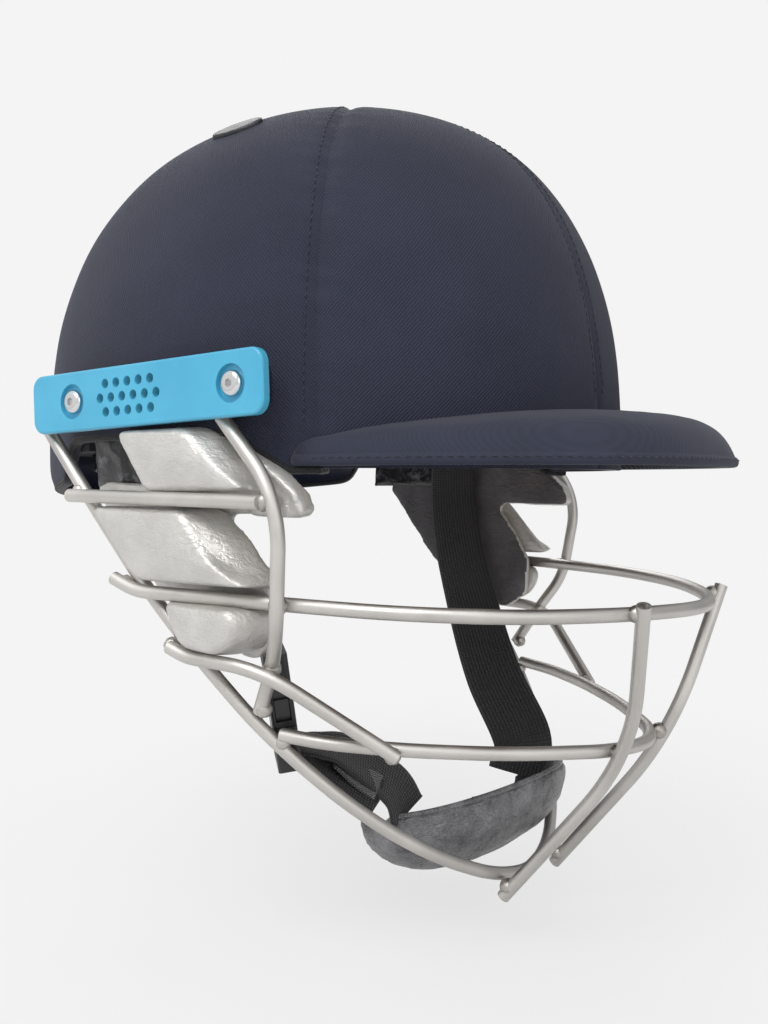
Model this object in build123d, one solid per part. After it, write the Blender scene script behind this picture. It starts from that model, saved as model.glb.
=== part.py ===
from build123d import *
import math
import os

# Cricket helmet. Millimetres, +Z up, the face looks along -Y, +X is the wearer's left.
# The origin is in the middle of the head space, at the height where the shell is widest.

overrun = 8.0
far_reach = 400.0
fit_gap = 0.3
seat_gap = 0.2

# Hard shell
shell_half_width = 104.8
shell_front_length = 112.8
shell_rear_length = 138.8
shell_crown_height = 138.8
shell_skirt_depth = 36.0
shell_wall = 3.0
dome_squareness = 2.5
dome_skirt_sweep = 42.0
dome_steps = 8
skirt_steps = 3
cover_thickness = 1.0

# Rim, seen from the side
brow_rim_height = -3.0
ear_rim_height = 9.0
nape_rim_height = -6.0
nape_rim_fall = 8.0
ear_cut_front = -46.0
ear_cut_rear = 60.0
ear_cut_slant = 6.0
rim_corner = 4.0
binding_thickness = 1.0
binding_proud = 0.7

# Cover panels: the side seams run in upright planes that meet on the mid-plane
side_seam_apex_y = -10.5
side_seam_angle = 26.1
seam_gap = 0.5

# Peak
peak_half_width = 96.0
peak_reach = 107.5
peak_root = -50.0
peak_squareness = 2.25
peak_edge_bottom = -2.0
peak_edge_top = 1.4
peak_seam_front_height = 18.0
peak_seam_rear_height = 8.0
peak_bury = 5.0
peak_board_thickness = 2.6
peak_lining_thickness = 0.8
peak_slope_share = 0.52
peak_lip_power = 9
peak_steps = 7
peak_section_share = (0.97, 0.93, 0.87, 0.76, 0.5, 0.25, 0)

# Impact liner and comfort pads
liner_thickness = 13.0
liner_front_edge = 4.0
liner_side_edge = 37.0
liner_rear_edge = 4.0
liner_side_half = 52.0
comfort_thickness = 9.0
brow_pad_low = -1.5
brow_pad_top = 28.0
brow_pad_rear = -16.0
side_pad_low = 2.0
side_pad_top = 52.0
side_pad_front = -10.0
side_pad_rear = 58.0
nape_pad_low = -4.0
nape_pad_top = 38.0
nape_pad_front = 64.0
crown_pad_radius = 42.0
crown_pad_hole_radius = 12.0

# Badge on the right of the crown
badge_length = 23.0
badge_width = 15.0
badge_height = 1.6
badge_edge_round = 0.9
badge_y = 6.0
badge_z = 125.0

# Side plates and what they clamp
plate_length = 112.0
plate_height = 21.2
plate_thickness = 3.1
plate_corner = 5.0
plate_edge_round = 1.0
plate_centre_y = 4.0
plate_centre_z = 22.2
plate_tilt = 2.0
plate_stand_off = 8.2
insert_thickness = 0.8
insert_margin = 1.6
bracket_thickness = 1.6
bracket_height = 13.0
bracket_end_margin = 2.0
bracket_corner = 3.0
spacer_length = 9.0
spacer_height = 14.0
spacer_corner = 3.0
screw_front_margin = 13.45
screw_rear_margin = 22.05
screw_shank_radius = 2.5
screw_hole_clearance = 0.25
screw_head_radius = 4.3
screw_head_height = 2.6
screw_head_round = 1.9
screw_drive_radius = 1.5
screw_drive_depth = 1.4
screw_length = 21.0
recess_radius = 6.2
recess_depth = 1.7
nut_radius = 6.0
nut_length = 11.4
vent_hole_radius = 1.7
vent_hole_pitch = 5.6
vent_row_pitch = 4.9
vent_columns = 6
vent_centre_offset = 5.0

# Face guard tube
tube_radius = 2.4
tube_bore_radius = 1.7
bend_share = 0.45

# Top rail, half outline from the ear to the middle of the face
top_rail_ear_x = 109.4
top_rail_ear_y = 20.5
top_rail_ear_z = -41.3
top_rail_bend_x = 109.2
top_rail_bend_y = 9.5
top_rail_bend_z = -45.2
top_rail_post_x = 100.4
top_rail_post_y = -50.0
top_rail_post_z = -46.8
top_rail_cheek_x = 91.5
top_rail_cheek_y = -87.0
top_rail_cheek_z = -48.0
top_rail_eye_x = 70.0
top_rail_eye_y = -119.0
top_rail_eye_z = -49.2
top_rail_strut_x = 36.0
top_rail_strut_y = -142.5
top_rail_strut_z = -50.0
top_rail_nose_y = -154.5
top_rail_nose_z = -50.4

# Lower rail, half outline
low_rail_end_x = 87.6
low_rail_end_y = -37.6
low_rail_end_z = -93.0
low_rail_cheek_x = 84.0
low_rail_cheek_y = -54.0
low_rail_cheek_z = -94.4
low_rail_brace_x = 71.0
low_rail_brace_y = -76.5
low_rail_brace_z = -96.2
low_rail_mouth_x = 48.0
low_rail_mouth_y = -104.0
low_rail_mouth_z = -98.4
low_rail_strut_x = 19.0
low_rail_strut_y = -127.0
low_rail_strut_z = -100.0
low_rail_nose_y = -133.0
low_rail_nose_z = -100.4

# Chin bar, half outline: one tube from plate to plate, in a plane that slants down to the chin
chin_bar_top_x = 106.6
chin_bar_top_y = 58.8
chin_bar_top_z = 11.4
chin_bar_chin_y = -87.5
chin_bar_chin_z = -155.5
chin_bar_width_share = (1.0, 0.998, 0.98, 0.935, 0.865, 0.79, 0.69, 0.56, 0.41, 0.21, 0.0)
chin_bar_run_share = (0.0, 0.125, 0.33, 0.465, 0.595, 0.68, 0.766, 0.847, 0.914, 0.975, 1.0)

# Front post
post_top_x = 106.6
post_top_y = -28.6
post_top_z = 13.6
post_bend_x = 110.0
post_bend_y = -56.0
post_bend_z = -12.5
post_knee_x = 105.2
post_knee_y = -50.5
post_knee_z = -53.0
post_brace_x = 96.6
post_brace_y = -41.6
post_brace_z = -68.4
post_foot_x = 92.2
post_foot_y = -32.0
post_foot_z = -85.0

# Ear rail
ear_rail_x = 111.5
ear_rail_rear_y = 41.5
ear_rail_rear_z = -12.4
ear_rail_front_y = -49.2
ear_rail_front_z = -13.8

# Brace
brace_rear_x = 105.8
brace_rear_y = -3.0
brace_rear_z = -64.0
brace_bend_x = 105.4
brace_bend_y = -11.0
brace_bend_z = -66.8
brace_post_x = 103.4
brace_post_y = -42.0
brace_post_z = -68.2
brace_foot_x = 76.6
brace_foot_y = -77.4
brace_foot_z = -97.4

# Front struts
strut_top_x = 39.7
strut_top_y = -146.4
strut_top_z = -46.5
strut_mid_x = 18.8
strut_mid_y = -134.6
strut_mid_z = -100.8
strut_foot_x = 21.4
strut_foot_y = -86.8
strut_foot_z = -159.0

# Ear guards
ear_panel_inset = 4.4
ear_panel_top_z = 5.5
ear_panel_thickness = 4.2
ear_panel_lean = 6.6
ear_panel_corner = 2.5
ear_panel_length = 104.0
ear_panel_drop = 74.5
ear_panel_front_y = -59.0
ear_rim_width = 4.0
ear_rim_rise = 2.6
ear_rim_run = 24.0
ear_rim_drop = 26.0
# shares of the panel's length from its front and of its drop from its top
ear_panel_outline_share = (
    (0.995, 0.215),
    (0.93, 0.18),
    (0.70, 0.18),
    (0.66, 0.01),
    (0.23, 0.01),
    (0.115, 0.115),
    (0.03, 0.21),
    (0.00, 0.325),
    (0.37, 0.325),
    (0.255, 0.54),
    (0.19, 0.70),
    (0.20, 0.91),
    (0.29, 1.0),
    (0.45, 0.955),
    (0.61, 0.825),
    (0.71, 0.70),
    (0.875, 0.42),
)
pad_corner = 3.0
pad_edge_round = 2.4
pad_draw_in = 0.8
pad_crown = 0.9
pad_side_slope = 10.0
pad_plate_step = 0.6
low_pad_step = 3.0
pad_rail_gap = 0.5
upper_pad_rear_top_y = 14.0
upper_pad_front_top_y = -18.5
upper_pad_front_low_y = -44.5
upper_pad_rear_low_y = -1.0
upper_pad_top_z = 10.6
middle_pad_rear_top_y = 29.0
middle_pad_front_top_y = -12.0
middle_pad_shoulder_y = -29.0
middle_pad_shoulder_z = -33.0
middle_pad_tip_y = -43.0
middle_pad_rear_low_y = 6.5
middle_pad_low_lift = 1.8
lower_pad_rear_y = -6.0
lower_pad_front_y = -41.5
lower_pad_front_low_y = -37.0
lower_pad_front_low_z = -61.0
lower_pad_keel_y = -25.0
lower_pad_keel_z = -63.8
lower_pad_heel_y = -12.0
lower_pad_heel_z = -62.6

# Harness pivots: rivets through the shell
pivot_y = 3.5
pivot_z = 20.0
rivet_shank_radius = 2.6
rivet_clearance = 0.1
rivet_head_radius = 5.0
rivet_inner_head = 1.8
rivet_outer_head = 1.0
rivet_head_round = 0.6

# Webbing
webbing_width = 25.0
webbing_thickness = 1.6
strap_shell_gap = 1.2
strap_end_lift = 7.0
strap_straight_drop = 5.2
# shares of the way from the rivet to the strap's lower end: sideways, forward, down
strap_left_share = (
    (0.140, 0.010, 0.088),
    (0.190, 0.025, 0.262),
    (0.310, 0.135, 0.450),
    (0.440, 0.300, 0.635),
    (0.700, 0.640, 0.835),
)
strap_left_end_x = 48.0
strap_left_end_y = -65.0
strap_left_end_z = -117.5
strap_left_end_turn = -15.0
strap_upper_share = (
    (0.290, 0.030, 0.145),
    (0.410, 0.080, 0.425),
    (0.700, 0.420, 0.720),
)
strap_upper_end_x = -74.6
strap_upper_end_y = -21.2
strap_upper_end_z = -64.0

# Side-release buckle
buckle_top_x = -74.2
buckle_top_y = -22.0
buckle_top_z = -67.0
buckle_low_x = -70.4
buckle_low_y = -26.4
buckle_low_z = -109.0
buckle_turn = 46.0
buckle_width = 30.0
buckle_thickness = 8.6
buckle_wall = 1.5
buckle_corner = 1.4
socket_length = 25.0
plug_base_length = 15.5
plug_bar_slot = 3.0
plug_slot_share = (0.3, 0.68)
plug_tongue_width = 5.0
arm_width = 3.2
arm_length = 18.0
arm_inset = 5.2
arm_hook = 1.9
arm_hook_length = 6.0
arm_root_gap = 0.3
window_length = 9.0

# Lower strap and its tail on the right
strap_lower_share = (
    (0.25, 0.22, 0.22),
    (0.60, 0.58, 0.55),
)
strap_lower_end_x = -52.5
strap_lower_end_y = -43.0
strap_lower_end_z = -123.0
strap_lower_end_turn = 58.0
tail_width = 22.0
tail_end_x = -62.5
tail_end_y = -45.0
tail_end_z = -127.0
tail_share = (0.45, 0.40, 0.42)

# Chin cup
cup_centre_x = 1.0
cup_centre_y = -57.0
cup_centre_z = -126.0
cup_half_length = 52.0
cup_reach = 27.0
cup_depth = 27.0
cup_turn = -13.2
cup_leather = 2.0
cup_lining = 2.4
cup_top_rise = 5.0
cup_rear_reach = 9.0

shells = {}


def mirrored(shape):
    return mirror(shape, about=Plane.YZ)


def half_profile(inset):
    half_width = shell_half_width - inset
    crown = shell_crown_height - inset
    power = 2.0 / dome_squareness
    crown_angles = [math.pi / 2 * (1 - step / dome_steps) for step in range(1, dome_steps)]
    skirt_angles = [math.radians(dome_skirt_sweep * step / skirt_steps) for step in range(skirt_steps + 1)]
    upper = [
        (half_width * math.cos(a) ** power, crown * math.sin(a) ** power) for a in crown_angles
    ]
    upper = [(0, crown)] + upper + [(half_width, 0)]
    lower = [
        (half_width * math.cos(a) ** power, -shell_skirt_depth * math.sin(a) ** power) for a in skirt_angles
    ]
    upper_curve = Spline(*upper, tangents=[(1, 0), (0, -1)])
    lower_curve = Spline(*lower)
    floor = Line(lower[-1], (0, lower[-1][1]))
    axis_line = Line((0, lower[-1][1]), (0, crown))
    return Plane.XZ * make_face([upper_curve, lower_curve, floor, axis_line])


def dome(inset):
    # everything inside the surface that lies this far inside the shell's outer face
    if inset not in shells:
        half_width = shell_half_width - inset
        rear = revolve(half_profile(inset), Axis.Z, 180)
        if rear.bounding_box().center().Y < 0:
            rear = mirror(rear, about=Plane.XZ)
        front = mirror(rear, about=Plane.XZ)
        rear = scale(rear, by=(1, (shell_rear_length - inset) / half_width, 1))
        front = scale(front, by=(1, (shell_front_length - inset) / half_width, 1))
        shells[inset] = rear.fuse(front, glue=True)
    return shells[inset]


def dome_half_width_at(inset, y, z):
    half_width = shell_half_width - inset
    length = (shell_front_length if y < 0 else shell_rear_length) - inset
    height = shell_crown_height - inset if z > 0 else shell_skirt_depth
    ring = (1 - (abs(z) / height) ** dome_squareness) ** (1 / dome_squareness)
    return half_width * math.sqrt(ring**2 - (y / length) ** 2)


def side_prism(points, corner, reach):
    # an outline in the side view, carried right through the helmet
    outline = Polyline(*points, close=True)
    face = make_face(outline)
    if corner:
        face = fillet(face.vertices(), corner)
    return extrude(Plane.YZ * face, amount=reach, both=True)


def above_rim(lift):
    brow = brow_rim_height + lift
    ear = ear_rim_height + lift
    nape = nape_rim_height + lift
    points = [
        (-far_reach, brow),
        (ear_cut_front - ear_cut_slant - lift, brow),
        (ear_cut_front - lift, ear),
        (ear_cut_rear + lift, ear),
        (ear_cut_rear + ear_cut_slant + lift, nape),
        (shell_rear_length, nape - nape_rim_fall),
        (far_reach, nape - nape_rim_fall),
        (far_reach, far_reach),
        (-far_reach, far_reach),
    ]
    return side_prism(points, rim_corner, far_reach)


def block(x_low, x_high, y_low, y_high, z_low, z_high):
    centre = ((x_low + x_high) / 2, (y_low + y_high) / 2, (z_low + z_high) / 2)
    return Pos(*centre) * Box(x_high - x_low, y_high - y_low, z_high - z_low)


def pin(x_low, x_high, y, z, radius):
    # a round bar along X
    return Pos((x_low + x_high) / 2, y, z) * Rot(0, 90, 0) * Cylinder(radius, abs(x_high - x_low))


cover_inset = -(seat_gap + cover_thickness)
liner_outer_inset = shell_wall + seat_gap
liner_inner_inset = liner_outer_inset + liner_thickness
comfort_outer_inset = liner_inner_inset + fit_gap
comfort_inner_inset = comfort_outer_inset + comfort_thickness
plate_outer_x = shell_half_width + plate_stand_off
plate_low_x = plate_outer_x - plate_thickness
insert_low_x = plate_low_x - insert_thickness
bracket_low_x = insert_low_x - bracket_thickness
bracket_length = plate_length - 2 * bracket_end_margin
ear_panel_top_x = shell_half_width - ear_panel_inset
strap_top_x = shell_half_width - shell_wall - strap_shell_gap - webbing_thickness / 2
pad_outer_x = plate_outer_x - pad_plate_step
low_pad_outer_x = pad_outer_x - low_pad_step


def on_plate(along, up):
    # a place on the plate's long axis and height, in the side view
    tilt = math.radians(-plate_tilt)
    y = plate_centre_y + along * math.cos(tilt) - up * math.sin(tilt)
    z = plate_centre_z + along * math.sin(tilt) + up * math.cos(tilt)
    return y, z


screw_places = [
    on_plate(screw_front_margin - plate_length / 2, 0),
    on_plate(plate_length / 2 - screw_rear_margin, 0),
]


def plate_slab(x_low, x_high, length, height, corner):
    y, z = on_plate(0, 0)
    slab = Pos((x_low + x_high) / 2, y, z) * Rot(-plate_tilt, 0, 0) * Box(x_high - x_low, length, height)
    edges = slab.edges().filter_by(Axis.X)
    return fillet(edges, corner)


def screw_holes(radius, x_low, x_high):
    holes = [pin(x_low, x_high, y, z, radius) for y, z in screw_places]
    return holes[0] + holes[1]


def make_shell():
    shell = (dome(0) - dome(shell_wall)) & above_rim(0)
    hole = screw_shank_radius + screw_hole_clearance
    inner = shell_half_width / 2
    cuts = screw_holes(hole, inner, far_reach / 2)
    cuts += pin(inner, far_reach / 2, pivot_y, pivot_z, rivet_shank_radius + rivet_clearance)
    return shell - cuts - mirrored(cuts)


def side_seam_wedge(front, gap):
    # plan region in front of or behind the two slanted seam planes
    slope = math.tan(math.radians(side_seam_angle))
    apex = side_seam_apex_y - gap if front else side_seam_apex_y + gap
    end = -far_reach if front else far_reach
    points = [
        (-far_reach, apex - slope * far_reach),
        (0, apex),
        (far_reach, apex - slope * far_reach),
        (far_reach, end),
        (-far_reach, end),
    ]
    return extrude(make_face(Polyline(*points, close=True)), amount=far_reach, both=True)


def make_covers():
    cloth = (dome(cover_inset) - dome(-seat_gap)) & above_rim(0)
    left = cloth & block(seam_gap / 2, far_reach, -far_reach, far_reach, -far_reach, far_reach)
    left -= screw_holes(screw_shank_radius + screw_hole_clearance, shell_half_width / 2, far_reach / 2)
    left -= pin(shell_half_width / 2, far_reach / 2, pivot_y, pivot_z, rivet_shank_radius + rivet_clearance)
    front_left = left & side_seam_wedge(True, seam_gap / 2)
    rear_left = left & side_seam_wedge(False, seam_gap / 2)
    return {
        "cover_front_left": front_left,
        "cover_front_right": mirrored(front_left),
        "cover_rear_left": rear_left,
        "cover_rear_right": mirrored(rear_left),
    }


def make_edge_binding():
    # a tape under the rim of shell and cloth, from one side of the peak round to the other
    tape = dome(cover_inset - seat_gap - binding_proud) - dome(shell_wall + seat_gap)
    tape = tape & (above_rim(-seat_gap - binding_thickness) - above_rim(-seat_gap))
    return tape & block(-far_reach, far_reach, peak_root + fit_gap, far_reach, -far_reach, far_reach)


def peak_section(out_share, inset):
    # closed outline between the dome (0) and the peak's edge (1), flat in its own tilted plane
    power = 2.0 / peak_squareness
    seam_half_width = shell_half_width - cover_inset - peak_bury
    seam_front = shell_front_length - cover_inset - peak_bury
    seam_reach = seam_front + peak_root
    points = []
    for step in range(2 * peak_steps + 1):
        angle = math.pi / 2 * step / peak_steps
        sine = abs(math.sin(angle)) ** power if 0 < step < 2 * peak_steps else 0
        cosine = abs(math.cos(angle)) ** power if step != peak_steps else 0
        edge_x = (peak_half_width - inset) * cosine
        edge_y = peak_root - (peak_reach - inset) * sine
        seam_y = peak_root - seam_reach * sine
        seam_x = seam_half_width * math.sqrt(max(0, 1 - (seam_y / seam_front) ** 2))
        x = (seam_x + (edge_x - seam_x) * out_share) * (1 if step <= peak_steps else -1)
        y = seam_y + (edge_y - seam_y) * out_share
        climb = (peak_seam_front_height - peak_seam_rear_height) / seam_reach
        seam_z = peak_seam_rear_height + climb * (peak_root - y)
        drop = peak_slope_share * out_share + (1 - peak_slope_share) * out_share**peak_lip_power
        z = seam_z + (peak_edge_top - seam_z) * drop - inset
        points.append((x, y, z))
    return make_face([Spline(*points), Line(points[-1], points[0])])


def peak_form(inset):
    # the space under the peak's upper surface, this far inside it
    edge = peak_section(1, inset)
    sections = [Pos(0, 0, -overrun) * edge, edge]
    sections += [peak_section(share, inset) for share in peak_section_share]
    return loft(sections, ruled=True)


def make_peak():
    board_top = cover_thickness + seat_gap
    board_low = board_top + peak_board_thickness
    lining_top = board_low + seat_gap
    lining_low = lining_top + peak_lining_thickness
    floor = block(-far_reach, far_reach, -far_reach, far_reach, peak_edge_bottom, far_reach)
    above = dome(cover_inset - seat_gap)
    insets = (0, cover_thickness, board_top, board_low, lining_top, lining_low)
    forms = [peak_form(inset) for inset in insets]
    return {
        "peak_cover": ((forms[0] - forms[1]) & floor) - above,
        "peak_board": ((forms[2] - forms[3]) & floor) - above,
        "peak_lining": ((forms[4] - forms[5]) & floor) - above,
    }


def make_liner():
    foam = dome(liner_outer_inset) - dome(liner_inner_inset)
    points = [
        (-far_reach, liner_front_edge),
        (-liner_side_half, liner_front_edge),
        (-liner_side_half, liner_side_edge),
        (liner_side_half, liner_side_edge),
        (liner_side_half, liner_rear_edge),
        (far_reach, liner_rear_edge),
        (far_reach, far_reach),
        (-far_reach, far_reach),
    ]
    return foam & side_prism(points, 0, far_reach)


def make_comfort_pads():
    layer = dome(comfort_outer_inset) - dome(comfort_inner_inset)
    wide = far_reach
    ring = Pos(0, 0, far_reach / 2) * (
        Cylinder(crown_pad_radius, far_reach) - Cylinder(crown_pad_hole_radius, far_reach)
    )
    side = layer & block(0, wide, side_pad_front, side_pad_rear, side_pad_low, side_pad_top)
    return {
        "brow_pad": layer & block(-wide, wide, -wide, brow_pad_rear, brow_pad_low, brow_pad_top),
        "nape_pad": layer & block(-wide, wide, nape_pad_front, wide, nape_pad_low, nape_pad_top),
        "crown_pad": layer & ring,
        "side_pad_left": side,
        "side_pad_right": mirrored(side),
    }


def make_badge():
    x = -dome_half_width_at(cover_inset, badge_y, badge_z)
    half_width = shell_half_width - cover_inset
    length = shell_rear_length - cover_inset
    height = shell_crown_height - cover_inset
    ring = math.hypot(x / half_width, badge_y / length)
    pull = ring ** (dome_squareness - 2)
    normal = Vector(
        pull * x / half_width**2,
        pull * badge_y / length**2,
        (badge_z / height) ** (dome_squareness - 1) / height,
    )
    seat = Plane(origin=(x, badge_y, badge_z), x_dir=(0, 1, 0), z_dir=normal)
    outline = seat * Ellipse(badge_length / 2, badge_width / 2)
    disc = extrude(outline, amount=badge_height)
    disc = fillet(disc.edges().sort_by(Axis(seat.origin, seat.z_dir))[-1], badge_edge_round)
    foot = extrude(outline, amount=-badge_height)
    return (disc + foot) - dome(cover_inset - seat_gap)


def make_side_plate():
    plate = plate_slab(plate_low_x, plate_outer_x, plate_length, plate_height, plate_corner)
    rim = plate.faces().sort_by(Axis.X)[-1].edges()
    plate = fillet(rim, plate_edge_round)
    hole = screw_shank_radius + screw_hole_clearance
    plate -= screw_holes(hole, plate_low_x - overrun, plate_outer_x + overrun)
    plate -= screw_holes(recess_radius, plate_outer_x - recess_depth, plate_outer_x + overrun)
    for row in (-1, 0, 1):
        count = vent_columns - abs(row)
        for column in range(count):
            along = vent_centre_offset + (column - (count - 1) / 2) * vent_hole_pitch
            y, z = on_plate(along, row * vent_row_pitch)
            plate -= pin(plate_low_x - overrun, plate_outer_x + overrun, y, z, vent_hole_radius)
    return plate


def make_insert():
    length = plate_length - 2 * insert_margin
    height = plate_height - 2 * insert_margin
    sheet = plate_slab(insert_low_x, plate_low_x, length, height, plate_corner - insert_margin)
    return sheet - screw_holes(screw_shank_radius + screw_hole_clearance, bracket_low_x, plate_outer_x)


def make_bracket():
    strip = plate_slab(bracket_low_x, insert_low_x, bracket_length, bracket_height, bracket_corner)
    hole = screw_shank_radius + screw_hole_clearance
    return strip - screw_holes(hole, bracket_low_x - overrun, plate_outer_x)


def make_spacers():
    blocks = []
    for y, z in screw_places:
        piece = Pos(bracket_low_x - spacer_length, y, z) * Rot(-plate_tilt, 0, 0) * Box(
            2 * spacer_length, spacer_length, spacer_height
        )
        piece = fillet(piece.edges().filter_by(Axis.X), spacer_corner)
        hole = screw_shank_radius + screw_hole_clearance
        piece -= pin(0, far_reach, y, z, hole)
        piece -= dome(cover_inset - seat_gap)
        blocks.append(piece)
    return blocks


def make_screw(y, z):
    seat = plate_outer_x - recess_depth
    head = pin(seat, seat + screw_head_height, y, z, screw_head_radius)
    head = fillet(head.edges().sort_by(Axis.X)[-1], screw_head_round)
    hexagon = Plane(origin=(seat + screw_head_height, y, z), z_dir=(-1, 0, 0)) * RegularPolygon(
        screw_drive_radius, 6
    )
    head -= extrude(hexagon, amount=screw_drive_depth)
    return head + pin(seat - screw_length, seat, y, z, screw_shank_radius)


def make_nut(y, z):
    inner_x = shell_half_width - shell_wall - nut_length
    body = pin(inner_x, shell_half_width, y, z, nut_radius)
    body -= pin(inner_x - overrun, far_reach, y, z, screw_shank_radius + seat_gap / 2)
    return body & dome(liner_outer_inset)


def bend_radii(points):
    places = [Vector(*point) for point in points]
    radii = []
    for before, corner, after in zip(places, places[1:], places[2:]):
        arriving = corner - before
        leaving = after - corner
        turn = math.radians(arriving.get_angle(leaving))
        run = min(arriving.length, leaving.length)
        radii.append(bend_share * run / math.tan(turn / 2))
    return radii


def tube(points, radius, bore=0):
    if len(points) > 2:
        path = FilletPolyline(*points, radius=bend_radii(points))
    else:
        path = Line(*points)
    start = Plane(origin=path @ 0, z_dir=path % 0)
    section = start * Circle(radius)
    if bore:
        section = section - start * Circle(bore)
    return sweep(section, path=path)


def across(half_points):
    # a half outline from the +X side to the mid-plane, carried on to the other side
    other = [(-x, y, z) for x, y, z in reversed(half_points[:-1])]
    return half_points + other


def make_top_rail():
    return tube(
        across(
            [
                (top_rail_ear_x, top_rail_ear_y, top_rail_ear_z),
                (top_rail_bend_x, top_rail_bend_y, top_rail_bend_z),
                (top_rail_post_x, top_rail_post_y, top_rail_post_z),
                (top_rail_cheek_x, top_rail_cheek_y, top_rail_cheek_z),
                (top_rail_eye_x, top_rail_eye_y, top_rail_eye_z),
                (top_rail_strut_x, top_rail_strut_y, top_rail_strut_z),
                (0, top_rail_nose_y, top_rail_nose_z),
            ]
        ),
        tube_radius,
    )


def make_lower_rail():
    return tube(
        across(
            [
                (low_rail_end_x, low_rail_end_y, low_rail_end_z),
                (low_rail_cheek_x, low_rail_cheek_y, low_rail_cheek_z),
                (low_rail_brace_x, low_rail_brace_y, low_rail_brace_z),
                (low_rail_mouth_x, low_rail_mouth_y, low_rail_mouth_z),
                (low_rail_strut_x, low_rail_strut_y, low_rail_strut_z),
                (0, low_rail_nose_y, low_rail_nose_z),
            ]
        ),
        tube_radius,
    )


def chin_bar_point(width_share, run_share):
    return (
        chin_bar_top_x * width_share,
        chin_bar_top_y + (chin_bar_chin_y - chin_bar_top_y) * run_share,
        chin_bar_top_z + (chin_bar_chin_z - chin_bar_top_z) * run_share,
    )


def make_chin_bar():
    half = [chin_bar_point(*shares) for shares in zip(chin_bar_width_share, chin_bar_run_share)]
    return tube(across(half), tube_radius)


def make_front_post():
    return tube(
        [
            (post_top_x, post_top_y, post_top_z),
            (post_bend_x, post_bend_y, post_bend_z),
            (post_knee_x, post_knee_y, post_knee_z),
            (post_brace_x, post_brace_y, post_brace_z),
            (post_foot_x, post_foot_y, post_foot_z),
        ],
        tube_radius,
    )


def make_ear_rail():
    return tube(
        [(ear_rail_x, ear_rail_rear_y, ear_rail_rear_z), (ear_rail_x, ear_rail_front_y, ear_rail_front_z)],
        tube_radius,
    )


def make_brace():
    return tube(
        [
            (brace_rear_x, brace_rear_y, brace_rear_z),
            (brace_bend_x, brace_bend_y, brace_bend_z),
            (brace_post_x, brace_post_y, brace_post_z),
            (brace_foot_x, brace_foot_y, brace_foot_z),
        ],
        tube_radius,
    )


def make_strut():
    return tube(
        [
            (strut_top_x, strut_top_y, strut_top_z),
            (strut_mid_x, strut_mid_y, strut_mid_z),
            (strut_foot_x, strut_foot_y, strut_foot_z),
        ],
        tube_radius,
        tube_bore_radius,
    )


def panel_plane():
    lean = math.radians(ear_panel_lean)
    return Plane(
        origin=(ear_panel_top_x, 0, ear_panel_top_z),
        x_dir=(0, 1, 0),
        z_dir=(math.cos(lean), 0, -math.sin(lean)),
    )


def panel_points():
    return [
        (ear_panel_front_y + along * ear_panel_length, -down * ear_panel_drop)
        for along, down in ear_panel_outline_share
    ]


def make_ear_panel():
    outline = make_face(Polyline(*panel_points(), close=True))
    outline = fillet(outline.vertices(), ear_panel_corner)
    panel = extrude(panel_plane() * outline, amount=-ear_panel_thickness)
    inner = offset(outline, -ear_rim_width)
    ring = extrude(panel_plane() * (outline - inner), amount=ear_rim_rise)
    rim_rear = ear_panel_front_y + ear_rim_run
    rim_low = ear_panel_top_z - ear_rim_drop
    return panel + (ring & block(0, far_reach, -far_reach, rim_rear, rim_low, far_reach))


def pulled_in(points):
    # an outline whose sides bow inwards a little between its corners
    centre = Vector(sum(p[0] for p in points) / len(points), sum(p[1] for p in points) / len(points))
    curves = []
    for start, end in zip(points, points[1:] + points[:1]):
        a = Vector(*start)
        b = Vector(*end)
        middle = (a + b) / 2
        inward = (centre - middle).normalized() * pad_draw_in
        curves.append(ThreePointArc(a, middle + inward, b))
    return make_face(curves)


def ear_pad(points, outer_x):
    face = pulled_in(points)
    face = fillet(face.vertices(), pad_corner)
    base_x = ear_panel_top_x - ear_panel_drop * math.tan(math.radians(ear_panel_lean)) - overrun
    top = Plane.YZ.offset(outer_x + pad_crown) * face
    pad = extrude(top, amount=outer_x + pad_crown - base_x, dir=(-1, 0, 0), taper=-pad_side_slope / 2)
    box = pad.bounding_box()
    half = math.hypot(box.size.Y, box.size.Z) / 2
    radius = (half**2 + pad_crown**2) / (2 * pad_crown)
    crown = Pos(outer_x + pad_crown - radius, box.center().Y, box.center().Z) * Sphere(radius)
    pad = pad & crown
    rim = pad.faces().sort_by(Axis.X)[-1].edges()
    pad = fillet(rim, pad_edge_round)
    inside = extrude(
        panel_plane().offset(fit_gap) * Rectangle(far_reach, far_reach), amount=-far_reach / 2
    )
    pad = pad - inside
    lifted = -seat_gap - binding_thickness - fit_gap
    return pad - (dome(cover_inset - binding_thickness - 2 * fit_gap) & above_rim(lifted))


def rail_height(y, rear, front):
    # height of a straight rail at this place along the helmet
    share = (y - rear[0]) / (front[0] - rear[0])
    return rear[1] + (front[1] - rear[1]) * share


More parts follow.
